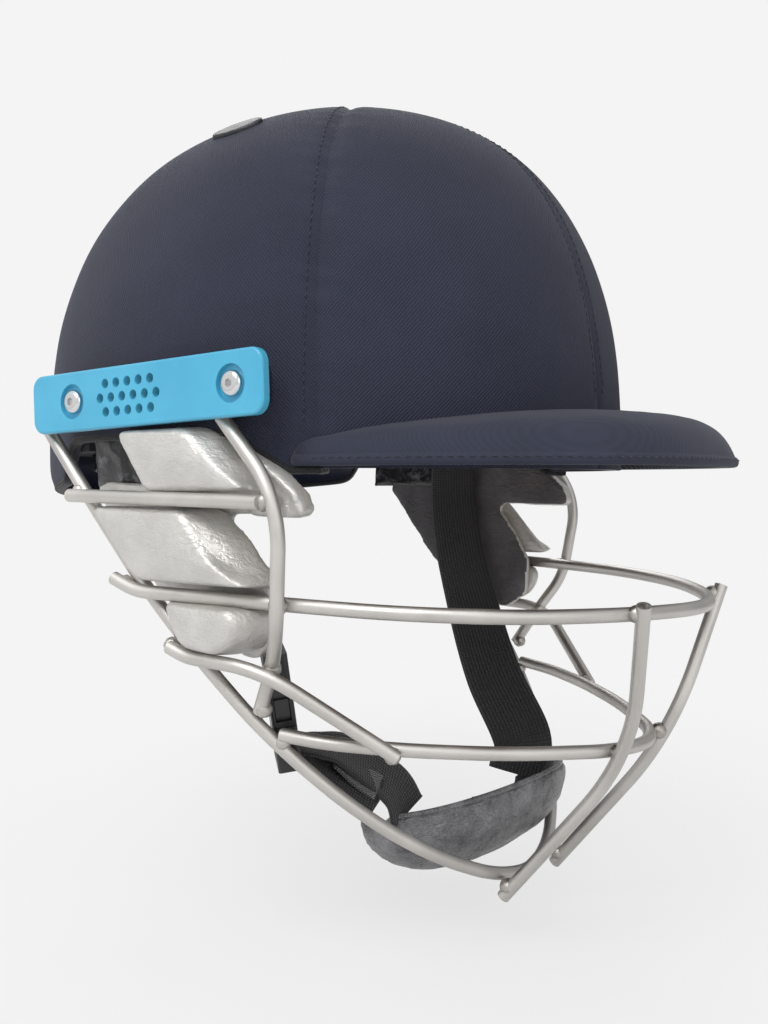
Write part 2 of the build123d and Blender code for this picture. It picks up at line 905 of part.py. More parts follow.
def make_ear_pads():
    ear_rail = ((ear_rail_rear_y, ear_rail_rear_z), (ear_rail_front_y, ear_rail_front_z))
    top_rail = ((top_rail_bend_y, top_rail_bend_z), (top_rail_post_y, top_rail_post_z))
    clear = tube_radius + pad_rail_gap
    upper = [
        (upper_pad_rear_top_y, upper_pad_top_z),
        (upper_pad_front_top_y, upper_pad_top_z),
        (upper_pad_front_low_y, rail_height(upper_pad_front_low_y, *ear_rail) + clear),
        (upper_pad_rear_low_y, rail_height(upper_pad_rear_low_y, *ear_rail) + clear),
    ]
    middle = [
        (middle_pad_rear_top_y, rail_height(middle_pad_rear_top_y, *ear_rail) - clear),
        (middle_pad_front_top_y, rail_height(middle_pad_front_top_y, *ear_rail) - clear),
        (middle_pad_shoulder_y, middle_pad_shoulder_z),
        (middle_pad_tip_y, rail_height(middle_pad_tip_y, *top_rail) + clear + middle_pad_low_lift),
        (middle_pad_rear_low_y, rail_height(middle_pad_rear_low_y, *top_rail) + clear),
    ]
    lower = [
        (lower_pad_rear_y, rail_height(lower_pad_rear_y, *top_rail) - clear),
        (lower_pad_front_y, rail_height(lower_pad_front_y, *top_rail) - clear),
        (lower_pad_front_low_y, lower_pad_front_low_z),
        (lower_pad_keel_y, lower_pad_keel_z),
        (lower_pad_heel_y, lower_pad_heel_z),
    ]
    return {
        "ear_pad_upper_left": ear_pad(upper, pad_outer_x),
        "ear_pad_middle_left": ear_pad(middle, pad_outer_x),
        "ear_pad_lower_left": ear_pad(lower, low_pad_outer_x),
    }


def make_rivet():
    inner_face = strap_top_x - webbing_thickness / 2 - seat_gap / 2
    outer_face = dome_half_width_at(cover_inset, pivot_y, pivot_z - rivet_head_radius) + seat_gap
    shank = pin(inner_face, outer_face, pivot_y, pivot_z, rivet_shank_radius)
    inner_head = pin(inner_face - rivet_inner_head, inner_face, pivot_y, pivot_z, rivet_head_radius)
    inner_head = fillet(inner_head.edges().sort_by(Axis.X)[0], rivet_head_round)
    outer_head = pin(outer_face, outer_face + rivet_outer_head, pivot_y, pivot_z, rivet_head_radius)
    return shank + inner_head + outer_head


def strap(points, widths, width, thickness):
    # flat webbing through these places, its width along the given directions
    places = [Vector(*point) for point in points]
    sections = []
    for index, place in enumerate(places):
        before = places[max(index - 1, 0)]
        after = places[min(index + 1, len(places) - 1)]
        along = (after - before).normalized()
        side = Vector(*widths[index])
        side = side - along * side.dot(along)
        sections.append(Plane(origin=place, x_dir=side, z_dir=along) * Rectangle(width, thickness))
    return loft(sections, ruled=True)


def turned(share, turn):
    # width direction of the webbing, turning from fore-and-aft towards the chin
    angle = math.radians(turn * share)
    return (math.sin(angle), math.cos(angle), 0)


def between(start, end, shares):
    return tuple(a + (b - a) * share for a, b, share in zip(start, end, shares))


def hanging_strap(side, end, shares, end_turn):
    # from the rivet inside the shell down to the lower end
    top_x = side * strap_top_x
    rivet = (top_x, pivot_y, pivot_z)
    above = (top_x, pivot_y, pivot_z + strap_end_lift)
    below = (top_x, pivot_y, pivot_z - strap_straight_drop)
    points = [above, rivet, below]
    points += [between(rivet, end, row) for row in shares]
    points.append(end)
    drop = rivet[2] - end[2]
    widths = [turned(max(0, (rivet[2] - point[2]) / drop) ** 2, end_turn) for point in points]
    ribbon = strap(points, widths, webbing_width, webbing_thickness)
    reach = webbing_thickness * 2
    return ribbon - pin(top_x - reach, top_x + reach, pivot_y, pivot_z, rivet_shank_radius + rivet_clearance)


def make_strap_left():
    end = (strap_left_end_x, strap_left_end_y, strap_left_end_z)
    return hanging_strap(1, end, strap_left_share, strap_left_end_turn)


def make_strap_upper():
    end = (strap_upper_end_x, strap_upper_end_y, strap_upper_end_z)
    return hanging_strap(-1, end, strap_upper_share, buckle_turn)


def buckle_plane():
    top = Vector(buckle_top_x, buckle_top_y, buckle_top_z)
    low = Vector(buckle_low_x, buckle_low_y, buckle_low_z)
    up = (top - low).normalized()
    side = Vector(*turned(1, buckle_turn))
    side = side - up * side.dot(up)
    return Plane(origin=low, x_dir=side, z_dir=up)


def buckle_length():
    top = Vector(buckle_top_x, buckle_top_y, buckle_top_z)
    return (top - Vector(buckle_low_x, buckle_low_y, buckle_low_z)).length


def make_buckle():
    # drawn upright: width along X, thickness along Y, the plug at the bottom
    length = buckle_length()
    mouth = length - socket_length
    half = buckle_width / 2
    socket = Pos(0, 0, mouth + socket_length / 2) * Box(buckle_width, buckle_thickness, socket_length)
    socket = fillet(socket.edges().filter_by(Axis.Z), buckle_corner)
    inner_width = buckle_width - 2 * buckle_wall
    inner_thickness = buckle_thickness - 2 * buckle_wall
    room = socket_length - 2 * buckle_wall - plug_bar_slot
    socket -= Pos(0, 0, mouth + room / 2) * Box(inner_width, inner_thickness, room)
    window = Pos(0, 0, mouth + arm_root_gap + window_length / 2 + buckle_wall) * Box(
        buckle_width + overrun, inner_thickness, window_length
    )
    socket -= window
    socket -= Pos(0, 0, length - buckle_wall - plug_bar_slot / 2) * Box(
        webbing_width + 2 * fit_gap, buckle_thickness + overrun, plug_bar_slot
    )
    base_top = mouth - fit_gap
    base_low = base_top - plug_base_length
    plug = Pos(0, 0, (base_top + base_low) / 2) * Box(buckle_width, buckle_thickness, plug_base_length)
    plug = fillet(plug.edges().filter_by(Axis.Z), buckle_corner)
    for share in plug_slot_share:
        plug -= Pos(0, 0, base_low + share * plug_base_length) * Box(
            webbing_width + 2 * fit_gap, buckle_thickness + overrun, plug_bar_slot
        )
    tongue_thickness = inner_thickness - 2 * fit_gap
    plug += Pos(0, 0, base_top + arm_length / 2) * Box(plug_tongue_width, tongue_thickness, arm_length)
    arms = []
    for side in (-1, 1):
        outer = half - buckle_wall - fit_gap - arm_hook / 2
        stem = Pos(side * (outer - arm_width / 2), 0, base_top + arm_root_gap + arm_length / 2) * Box(
            arm_width, tongue_thickness, arm_length
        )
        hook = Pos(side * outer, 0, mouth + arm_root_gap + window_length - arm_hook_length / 2) * Box(
            2 * arm_hook, tongue_thickness, arm_hook_length
        )
        arms.append(stem + hook)
    place = buckle_plane().location
    return {
        "buckle_socket": place * socket,
        "buckle_plug": place * plug,
        "buckle_arm_rear": place * arms[1],
        "buckle_arm_front": place * arms[0],
    }


def make_strap_lower():
    start = (buckle_low_x, buckle_low_y, buckle_low_z)
    end = (strap_lower_end_x, strap_lower_end_y, strap_lower_end_z)
    points = [start] + [between(start, end, row) for row in strap_lower_share] + [end]
    last = len(points) - 1
    extra_turn = strap_lower_end_turn - buckle_turn
    widths = [turned(1, buckle_turn + extra_turn * index / last) for index in range(len(points))]
    return strap(points, widths, webbing_width, webbing_thickness)


def make_strap_tail():
    # the free end of the lower webbing, doubled back below the buckle
    place = buckle_plane()
    start = place.origin + place.y_dir * (webbing_thickness + 2 * fit_gap)
    start = (start.X, start.Y, start.Z)
    end = (tail_end_x, tail_end_y, tail_end_z)
    points = [start, between(start, end, tail_share), end]
    widths = [turned(1, buckle_turn)] * len(points)
    return strap(points, widths, tail_width, webbing_thickness)


def make_chin_cup():
    turn = Pos(cup_centre_x, cup_centre_y, cup_centre_z) * Rot(0, 0, cup_turn)

    def bowl(inset):
        return scale(
            Sphere(1), by=(cup_half_length - inset, cup_reach - inset, cup_depth - inset)
        )

    side = far_reach / 2
    keep = block(-side, side, -side, cup_rear_reach, -side, cup_top_rise)
    cup = (bowl(0) - bowl(cup_leather)) & keep
    lining = (bowl(cup_leather) - bowl(cup_leather + cup_lining)) & keep
    return turn * cup, turn * lining


def main():
    pieces = {"shell": make_shell()}
    pieces.update(make_covers())
    pieces["edge_binding"] = make_edge_binding()
    pieces.update(make_peak())
    pieces["impact_liner"] = make_liner()
    pieces.update(make_comfort_pads())
    pieces["crown_badge"] = make_badge()

    plate_group = {
        "side_plate": make_side_plate(),
        "plate_insert": make_insert(),
        "mount_bracket": make_bracket(),
        "front_post": make_front_post(),
        "ear_rail": make_ear_rail(),
        "brace": make_brace(),
        "strut": make_strut(),
        "ear_panel": make_ear_panel(),
        "strap_rivet": make_rivet(),
    }
    for name, piece in plate_group.items():
        pieces[name + "_left"] = piece
        pieces[name + "_right"] = mirrored(piece)
    for name, piece in make_ear_pads().items():
        pieces[name] = piece
        pieces[name.replace("_left", "_right")] = mirrored(piece)

    screws = [make_screw(y, z) for y, z in screw_places]
    nuts = [make_nut(y, z) for y, z in screw_places]
    spacers = make_spacers()
    for name, group in (("plate_screws", screws), ("screw_nuts", nuts), ("shell_spacers", spacers)):
        pieces[name] = Compound(children=group + [mirrored(piece) for piece in group])

    pieces["top_rail"] = make_top_rail()
    pieces["lower_rail"] = make_lower_rail()
    pieces["chin_bar"] = make_chin_bar()

    pieces["strap_left"] = make_strap_left()
    pieces["strap_upper"] = make_strap_upper()
    pieces.update(make_buckle())
    pieces["strap_lower"] = make_strap_lower()
    pieces["strap_tail"] = make_strap_tail()
    pieces["chin_cup"], pieces["chin_cup_lining"] = make_chin_cup()

    os.makedirs("parts", exist_ok=True)
    for name, piece in pieces.items():
        export_step(piece, f"parts/{name}.step")


main()
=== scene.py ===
import math

import bmesh
import bpy
from mathutils import Matrix, Vector, noise


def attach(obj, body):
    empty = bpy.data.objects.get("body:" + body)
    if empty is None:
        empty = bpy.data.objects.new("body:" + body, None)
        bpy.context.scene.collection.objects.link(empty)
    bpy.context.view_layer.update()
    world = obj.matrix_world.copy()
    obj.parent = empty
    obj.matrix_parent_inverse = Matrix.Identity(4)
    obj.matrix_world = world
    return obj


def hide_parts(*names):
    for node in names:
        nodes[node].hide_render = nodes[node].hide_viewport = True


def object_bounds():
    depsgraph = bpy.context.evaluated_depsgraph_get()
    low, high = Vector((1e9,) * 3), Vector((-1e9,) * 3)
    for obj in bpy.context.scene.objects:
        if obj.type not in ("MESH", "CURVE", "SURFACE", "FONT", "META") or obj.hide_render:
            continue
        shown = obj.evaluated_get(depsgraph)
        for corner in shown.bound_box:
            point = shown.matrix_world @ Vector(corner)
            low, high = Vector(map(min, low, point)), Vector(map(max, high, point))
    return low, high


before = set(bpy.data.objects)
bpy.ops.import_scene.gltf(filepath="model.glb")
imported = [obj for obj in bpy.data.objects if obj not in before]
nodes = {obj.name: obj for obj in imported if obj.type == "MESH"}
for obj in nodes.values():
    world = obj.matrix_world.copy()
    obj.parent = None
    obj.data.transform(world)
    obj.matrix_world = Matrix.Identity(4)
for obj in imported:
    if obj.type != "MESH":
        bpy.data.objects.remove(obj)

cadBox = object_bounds()
mm = 0.001

# a band texture of this scale repeats once a millimetre
bandScale = 0.314


# colour and shader helpers

def colour(hexText):
    values = [int(hexText[i:i + 2], 16) / 255 for i in (0, 2, 4)]
    linear = [v / 12.92 if v < 0.04045 else ((v + 0.055) / 1.055) ** 2.4 for v in values]
    return (*linear, 1.0)


def setInputs(node, **values):
    for key, value in values.items():
        node.inputs[key.replace("_", " ")].default_value = value


def addNode(tree, kind, links=None, **settings):
    # settings name the node's own choices or its sockets
    node = tree.nodes.new(kind)
    for key, value in settings.items():
        if hasattr(node, key):
            setattr(node, key, value)
        else:
            setInputs(node, **{key: value})
    for socket, source in (links or {}).items():
        tree.links.new(source, node.inputs[socket])
    return node


def newMaterial(name):
    material = bpy.data.materials.new(name)
    material.use_nodes = True
    tree = material.node_tree
    return material, tree, tree.nodes["Principled BSDF"]


def mapped(tree, source, **values):
    node = addNode(tree, "ShaderNodeMapping", {0: source})
    setInputs(node, **values)
    return node.outputs[0]


def coordsOf(tree, kind="Object"):
    # places on the piece in millimetres, from its own axes or its UV map
    coords = addNode(tree, "ShaderNodeTexCoord")
    return mapped(tree, coords.outputs[kind], Scale=(1000.0, 1000.0, 1000.0))


def noiseAt(tree, vector, size, detail=2.0, roughness=0.5):
    # blotches about this many millimetres across
    node = addNode(tree, "ShaderNodeTexNoise", {"Vector": vector}, Scale=1 / size, Detail=detail)
    node.inputs["Roughness"].default_value = roughness
    return node.outputs[0]


def rampOf(tree, source, stops):
    ramp = addNode(tree, "ShaderNodeValToRGB", {0: source})
    elements = ramp.color_ramp.elements
    while len(elements) < len(stops):
        elements.new(0.5)
    for element, (place, shade) in zip(elements, stops):
        element.position = place
        element.color = colour(shade) if isinstance(shade, str) else (shade, shade, shade, 1)
    return ramp.outputs[0]


def mathOf(tree, operation, *inputs):
    node = addNode(tree, "ShaderNodeMath", operation=operation)
    for index, value in enumerate(inputs):
        if isinstance(value, (int, float)):
            node.inputs[index].default_value = value
        else:
            tree.links.new(value, node.inputs[index])
    return node.outputs[0]


def bumpFrom(tree, shader, height, depth, before=None):
    # depth in millimetres
    bump = addNode(tree, "ShaderNodeBump", {"Height": height}, Distance=depth * mm, Strength=1.0)
    if before is not None:
        tree.links.new(before, bump.inputs["Normal"])
    tree.links.new(bump.outputs[0], shader.inputs["Normal"])
    return bump.outputs[0]


def bands(tree, vector, direction, spacing, distortion, **values):
    wave = addNode(tree, "ShaderNodeTexWave", {"Vector": vector}, bands_direction=direction)
    setInputs(wave, Scale=bandScale / spacing, Distortion=distortion, **values)
    return wave.outputs["Fac"]


def weaveHeight(tree, vector, threadSpacing, tilt):
    # fine diagonal twill: ribs across and a finer thread along them
    rotated = mapped(tree, vector, Rotation=(0, 0, tilt))
    ribs = bands(tree, rotated, "X", threadSpacing, 1.2, Detail=1.0, Detail_Scale=1.5)
    threads = bands(tree, rotated, "Y", threadSpacing * 0.8, 1.0)
    return mathOf(tree, "ADD", ribs, mathOf(tree, "MULTIPLY", threads, 0.45))


def clothMaterial(name, dark, light, spacing, tilt, depth, sheen=0.25, roughness=0.82, contrast=0.36):
    # dyed woven cotton-polyester: matt, thread-fine diagonal ribs, a faint sheen at grazing angles
    material, tree, shader = newMaterial(name)
    weave = weaveHeight(tree, coordsOf(tree, "UV"), spacing, tilt)
    cloud = noiseAt(tree, coordsOf(tree), 26, 3)
    level = mathOf(tree, "ADD", mathOf(tree, "MULTIPLY", weave, contrast),
                   mathOf(tree, "MULTIPLY", cloud, 0.42))
    tree.links.new(rampOf(tree, level, [(0.18, dark), (0.78, light)]), shader.inputs["Base Color"])
    setInputs(shader, Roughness=roughness, Sheen_Weight=sheen, Sheen_Roughness=0.45, Specular_IOR_Level=0.25)
    bumpFrom(tree, shader, weave, depth)
    return material


def unevenFinish(tree, shader, cloud, dark, light, rough, stops=(0.3, 0.7), spread=(0.05, 0.06)):
    # colour and gloss that wander a little over the surface
    tree.links.new(rampOf(tree, cloud, [(stops[0], dark), (stops[1], light)]), shader.inputs["Base Color"])
    gloss = rampOf(tree, cloud, [(0.3, rough - spread[0]), (0.7, rough + spread[1])])
    tree.links.new(gloss, shader.inputs["Roughness"])


def leatherMaterial(name, dark, light, grain, depth, roughness, creaseDepth=0.25, coat=0.0, blotch=18,
                    metal=0.0):
    # polyurethane-coated cloth: a pebbled skin with creases and a low shine
    material, tree, shader = newMaterial(name)
    vector = coordsOf(tree)
    cells = addNode(tree, "ShaderNodeTexVoronoi", {"Vector": vector}, feature="DISTANCE_TO_EDGE",
                    Scale=1 / grain)
    pebbles = rampOf(tree, cells.outputs["Distance"], [(0.0, 0.0), (0.28, 1.0)])
    cloud = noiseAt(tree, vector, blotch, 4, 0.6)
    folded = mapped(tree, vector, Scale=(1, 0.62, 1.35), Rotation=(0.6, 0, 0))
    folds = noiseAt(tree, folded, 4.6, 3, 0.6)
    creases = rampOf(tree, folds, [(0.40, 1.0), (0.5, 0.0), (0.60, 1.0)])
    level = mathOf(tree, "ADD", mathOf(tree, "MULTIPLY", cloud, 0.8), mathOf(tree, "MULTIPLY", pebbles, 0.14))
    tree.links.new(rampOf(tree, level, [(0.3, dark), (0.68, light)]), shader.inputs["Base Color"])
    rough = rampOf(tree, cloud, [(0.3, roughness - 0.07), (0.7, roughness + 0.08)])
    tree.links.new(rough, shader.inputs["Roughness"])
    setInputs(shader, Metallic=metal, Coat_Weight=coat, Coat_Roughness=0.25)
    first = bumpFrom(tree, shader, creases, creaseDepth)
    bumpFrom(tree, shader, pebbles, depth, first)
    return material


def plasticMaterial(name, base, rough, speckle=0.02, grain=0.6, coat=0.0, worn=None):
    # injection moulded: a faint spark-eroded texture and slightly uneven gloss
    material, tree, shader = newMaterial(name)
    vector = coordsOf(tree)
    fine = noiseAt(tree, vector, grain, 3)
    unevenFinish(tree, shader, noiseAt(tree, vector, 30, 2), base, worn or base, rough, (0.35, 0.75))
    setInputs(shader, IOR=1.5, Coat_Weight=coat, Coat_Roughness=0.12)
    bumpFrom(tree, shader, fine, speckle)
    return material


def metalMaterial(name, base, light, rough, grain=0.5, depth=0.012, stretch=(1, 1, 1)):
    # metal with the marks of how its surface was made
    material, tree, shader = newMaterial(name)
    vector = coordsOf(tree)
    fine = noiseAt(tree, mapped(tree, vector, Scale=stretch), grain, 3)
    unevenFinish(tree, shader, noiseAt(tree, vector, 22, 3), base, light, rough, spread=(0.05, 0.07))
    setInputs(shader, Metallic=1.0)
    bumpFrom(tree, shader, fine, depth)
    return material


def webbingMaterial():
    # woven polyester webbing: ribs across and along a 25 mm tape, black with a slight shine
    material, tree, shader = newMaterial("wovenPolyesterWebbing")
    vector = coordsOf(tree, "UV")
    height = mathOf(tree, "MULTIPLY", bands(tree, vector, "X", 1.5, 0.6), bands(tree, vector, "Y", 1.1, 0.8))
    tree.links.new(rampOf(tree, height, [(0.1, "17171a"), (0.9, "34343a")]), shader.inputs["Base Color"])
    setInputs(shader, Roughness=0.66, Sheen_Weight=0.2)
    bumpFrom(tree, shader, height, 0.28)
    return material


def filmWithPaintedHighlights():
    # creased film over foam, black, with painted highlights: grey painted onto its raised folds where the
    # glossy film catches the light
    material, tree, shader = newMaterial("creasedFilmOverFoam")
    folds = noiseAt(tree, coordsOf(tree), 7, 5, 0.65)
    # the grey on the raised folds is a painted highlight; the film's own colour is the near-black
    tree.links.new(rampOf(tree, folds, [(0.36, "0e0e10"), (0.55, "26262b"), (0.68, "6c6c72")]),
                   shader.inputs["Base Color"])
    setInputs(shader, Roughness=0.24, Coat_Weight=0.3)
    bumpFrom(tree, shader, folds, 1.0)
    return material


materials = {
    "navyTwill": clothMaterial("navyCottonTwill", "212432", "303344", 1.0, math.radians(-42), 0.15, 0.08),
    "navyTwillRear": clothMaterial("navyCottonTwillRear", "212432", "303344", 1.0, math.radians(40),
                                   0.15, 0.08),
    "peakTwill": clothMaterial("navyPeakTwill", "2a2d3b", "393c4d", 0.9, math.radians(-50), 0.05, 0.08,
                               contrast=0.12),
    "underCloth": clothMaterial("blackUnderCloth", "1b1b1f", "2c2c31", 0.9, 0.0, 0.15),
    "bindingTape": clothMaterial("blackBindingTape", "15151a", "27272d", 0.8, 0.0, 0.15, 0.15, 0.7),
    "browCloth": clothMaterial("brushedAmberCloth", "d88a12", "f2ad2c", 1.2, 0.3, 0.2, 0.4, 0.9),
    "cupLining": clothMaterial("brushedDarkLining", "2f2f33", "46464b", 1.3, 0.5, 0.25, 0.35, 0.9),
    "silverLeather": leatherMaterial("silverCoatedCloth", "bdbbb7", "d3d1cd", 0.7, 0.02, 0.42, 0.1,
                                     metal=0.5),
    "blackPadding": filmWithPaintedHighlights(),
    "linerPad": leatherMaterial("blackCoatedPadding", "19191c", "303035", 1.0, 0.05, 0.4, 0.4),
    "greySuede": leatherMaterial("greySuede", "49474a", "6b696c", 0.5, 0.05, 0.85, 0.15),
    "cupLeather": leatherMaterial("darkCoatedCupCloth", "47474a", "8a898c", 0.8, 0.04, 0.32, 0.35, 0.35, 9),
    "webbing": webbingMaterial(),
    "loopFelt": clothMaterial("greyLoopFelt", "26262a", "6a686b", 0.7, 0.9, 0.45, 0.4, 0.95),
    "blueMoulding": plasticMaterial("blueMouldedNylon", "3f9fc2", 0.36, 0.02, 0.7, 0.15, "4cabcd"),
    "yellowSheet": plasticMaterial("paleYellowSheet", "f5dc90", 0.5, 0.015, 0.8, 0.0, "fae6a4"),
    "blackAcetal": plasticMaterial("blackAcetal", "141416", 0.34, 0.02, 0.5, 0.1, "202023"),
    "blackNylon": plasticMaterial("blackNylonMoulding", "19191c", 0.5, 0.03, 0.8),
    "shellPlastic": plasticMaterial("navyMouldedAbs", "24283a", 0.35, 0.01, 0.6),
    "linerFoam": plasticMaterial("closedCellFoam", "2c2c30", 0.85, 0.25, 0.9),
    "boardPlastic": plasticMaterial("darkPeakBoard", "26262a", 0.6, 0.03, 0.8),
    "satinTitanium": metalMaterial("satinTitaniumTube", "bfbcb8", "d2cfcb", 0.47, 0.35, 0.02, (1, 1, 0.25)),
    "weldMetal": metalMaterial("titaniumWeldBead", "a09c98", "c4c0bb", 0.42, 0.8, 0.05),
    "polishedSteel": metalMaterial("polishedPlatedSteel", "c9c9cb", "dededf", 0.14, 0.6, 0.004),
    "pewter": metalMaterial("stampedPewter", "303033", "58585c", 0.5, 1.6, 0.3),
    "zincPlate": metalMaterial("zincPlatedSteel", "a7a8a8", "c2c2c0", 0.34, 0.8, 0.02),
    "navyThread": clothMaterial("navySewingThread", "1f222e", "343747", 0.5, 0.6, 0.05),
}

# which finish each rigid piece that stays from the frame gets, by how its name starts
nodeFinish = {
    "blueMoulding": ("side_plate",), "yellowSheet": ("plate_insert",), "polishedSteel": ("plate_screws",),
    "satinTitanium": ("mount_bracket", "front_post", "ear_rail", "brace", "strut", "top_rail", "lower_rail",
                      "chin_bar"),
    "zincPlate": ("screw_nuts", "strap_rivet"), "blackNylon": ("shell_spacers",), "pewter": ("crown_badge",),
    "shellPlastic": ("shell",), "linerFoam": ("impact_liner",), "boardPlastic": ("peak_board",),
    "blackAcetal": ("buckle",),
}
for nodeName, nodeObject in nodes.items():
    for finish, starts in nodeFinish.items():
        if nodeName.startswith(starts):
            nodeObject.data.materials.clear()
            nodeObject.data.materials.append(materials[finish])
            break
print("materials ready")


# mesh helpers

def deselect():
    for item in bpy.context.selected_objects:
        item.select_set(False)


def activate(piece):
    deselect()
    piece.select_set(True)
    bpy.context.view_layer.objects.active = piece


def meshPiece(name, bm, material):
    mesh = bpy.data.meshes.new(name)
    bm.to_mesh(mesh)
    bm.free()
    piece = bpy.data.objects.new(name, mesh)
    bpy.context.collection.objects.link(piece)
    mesh.materials.append(materials[material])
    return piece


def builtPiece(name, bm, material):
    # millimetres to metres, every face turned outward
    bmesh.ops.recalc_face_normals(bm, faces=bm.faces)
    bmesh.ops.scale(bm, vec=(mm, mm, mm), verts=bm.verts)
    return meshPiece(name, bm, material)


def joinRows(bm, rows, closed=False, smoothed=True):
    # faces between each row of points and the next
    made = []
    for low, high in zip(rows, rows[1:]):
        corners = list(zip(low, low[1:], high[1:], high))
        if closed:
            corners.append((low[-1], low[0], high[0], high[-1]))
        for four in corners:
            face = bm.faces.new(four)
            face.smooth = smoothed
            made.append(face)
    return made


def capRows(bm, rows):
    bm.faces.new(rows[0][::-1])
    bm.faces.new(rows[-1])


def circleRow(bm, centre, first, second, radius, sides):
    turns = [2 * math.pi * side / sides for side in range(sides)]
    return [bm.verts.new(centre + (first * math.cos(turn) + second * math.sin(turn)) * radius)
            for turn in turns]


def layWeave(bm, places):
    # UV in metres of cloth for every corner of every face
    layer = bm.loops.layers.uv.new("weave")
    for face in bm.faces:
        for loop in face.loops:
            u, v = places(loop.vert)
            loop[layer].uv = (u * mm, v * mm)


def applyModifier(piece, kind, **settings):
    modifier = piece.modifiers.new(kind.title(), kind)
    for key, value in settings.items():
        setattr(modifier, key, value)
    activate(piece)
    bpy.ops.object.modifier_apply(modifier=modifier.name)


def smooth(piece, angle=None):
    activate(piece)
    if angle is None:
        bpy.ops.object.shade_smooth()
    else:
        bpy.ops.object.shade_smooth_by_angle(angle=math.radians(angle))


def copyOfNode(nodeName, pieceName, material):
    # a welded copy of a frame piece, to be worked into the soft one
    bm = bmesh.new()
    bm.from_mesh(nodes[nodeName].data)
    bmesh.ops.remove_doubles(bm, verts=bm.verts, dist=0.01 * mm)
    return meshPiece(pieceName, bm, material)


def keep(piece, body, slot, *replaced):
    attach(piece, body)
    if replaced:
        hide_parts(*replaced)


# the dome: a squared-off half egg, its plan round, longer behind than in front
domeShape = {
    "halfWidth": 104.8, "front": 112.8, "rear": 138.8, "crown": 138.8, "skirt": 36.0,
    "squareness": 2.5, "rimBrow": -3.0, "rimEar": 9.0, "rimNape": -6.0, "napeFall": 8.0,
    "earFrontLow": -48.5, "earFrontTop": -29.0, "earRear": 60.0, "earSlant": 6.0, "rimSoftness": 4.0,
    "seamApex": -10.5, "seamSlope": math.tan(math.radians(26.1)),
    "rings": 150, "steps": 130,
}


def rimHeight(y):
    # height of the rim along the helmet, its steps rounded
    d = domeShape
    soft = d["rimSoftness"]
    frontStep = (y - d["earFrontLow"]) / (d["earFrontTop"] - d["earFrontLow"])
    frontStep = max(0.0, min(1.0, frontStep))
    rearStep = 1 / (1 + math.exp(-(y - (d["earRear"] + d["earSlant"] / 2)) / soft * 2))
    rear = d["rimNape"] - d["napeFall"] * max(0, y - d["earRear"]) / (d["rear"] - d["earRear"])
    return d["rimBrow"] + (d["rimEar"] - d["rimBrow"]) * frontStep + (rear - d["rimEar"]) * rearStep


def domePoint(turn, z, lift):
    # turn 0 faces the wearer's left (+X), a quarter turn on is the rear
    d = domeShape
    height = (d["crown"] if z > 0 else d["skirt"]) + lift
    ring = max(0.0, 1 - (abs(z) / height) ** d["squareness"]) ** (1 / d["squareness"])
    length = (d["rear"] if math.sin(turn) > 0 else d["front"]) + lift
    x = (d["halfWidth"] + lift) * ring * math.cos(turn)
    return Vector((x, length * ring * math.sin(turn), z))


def domeNormal(point):
    d = domeShape
    length = d["rear"] if point.y > 0 else d["front"]
    height = d["crown"] if point.z > 0 else d["skirt"]
    radial = math.hypot(point.x / d["halfWidth"], point.y / length)
    power = d["squareness"]
    slope = radial ** (power - 2) if radial > 0.001 else 0
    vertical = math.copysign(abs(point.z / height) ** (power - 1), point.z) / height
    normal = Vector((slope * point.x / d["halfWidth"] ** 2, slope * point.y / length ** 2, vertical))
    return normal.normalized() if normal.length > 0 else Vector((0, 0, 1))


def onDome(turn, rise, lift):
    # rise 0 is the rim and 1 the crown, spaced evenly along the curve
    d = domeShape
    crownTop = d["crown"] + lift
    low = rimHeight(domePoint(turn, 0, lift).y)
    angle = math.pi / 2 * rise
    z = crownTop * math.sin(angle) ** (2 / d["squareness"]) if rise > 0 else 0
    z = low + (crownTop - low) * (z / crownTop)
    return domePoint(turn, min(z, crownTop), lift)


def sideSeam(point):
    # distance behind the slanted seam plane, in millimetres
    d = domeShape
    run = point.y - (d["seamApex"] - d["seamSlope"] * abs(point.x))
    return run / math.hypot(1, d["seamSlope"])


# the cloth: base is its bare height over the shell, gap the panels' overlap at a seam, and
# girth and rise turn angles to lengths for the weave
coverLook = {
    "base": 1.2, "lift": 1.75, "thickness": 1.0, "edge": 0.35, "seamDip": 1.3, "seamWidth": 2.6,
    "pucker": 0.28, "puckerReach": 9, "waves": 0.35, "midDip": 0.9, "rearMidDip": 0.36, "rimPull": 0.35,
    "rimReach": 14, "gap": -0.12, "topShare": 0.985, "girth": 112, "rise": 128,
}


def coverSurface(point):
    # cloth over the dome: dips into the seams, puckers beside them and ripples a little
    c = coverLook
    seam = sideSeam(point)
    dip = c["seamDip"] * math.exp(-(seam / c["seamWidth"]) ** 2)
    dip += c["midDip" if seam < 0 else "rearMidDip"] * math.exp(-(abs(point.x) / c["seamWidth"]) ** 2)
    nearSeam = math.exp(-(abs(seam) / c["puckerReach"]) ** 1.5)
    ripple = noise.noise(Vector((point.z / 5.5 + point.x / 9, point.y / 30, seam / 60)))
    wide = noise.noise(Vector((point.x / 34, point.y / 30, point.z / 26)))
    nearRim = math.exp(-(max(0, point.z - rimHeight(point.y)) / c["rimReach"]) ** 2)
    around = math.atan2(point.y, abs(point.x)) * 16
    pull = noise.noise(Vector((around, 3.1 + math.copysign(4, point.x), point.z / 40)))
    offset = c["waves"] * wide + c["pucker"] * ripple * nearSeam * 2 + c["rimPull"] * pull * nearRim - dip
    return point + domeNormal(point) * (c["lift"] - c["base"] + offset)


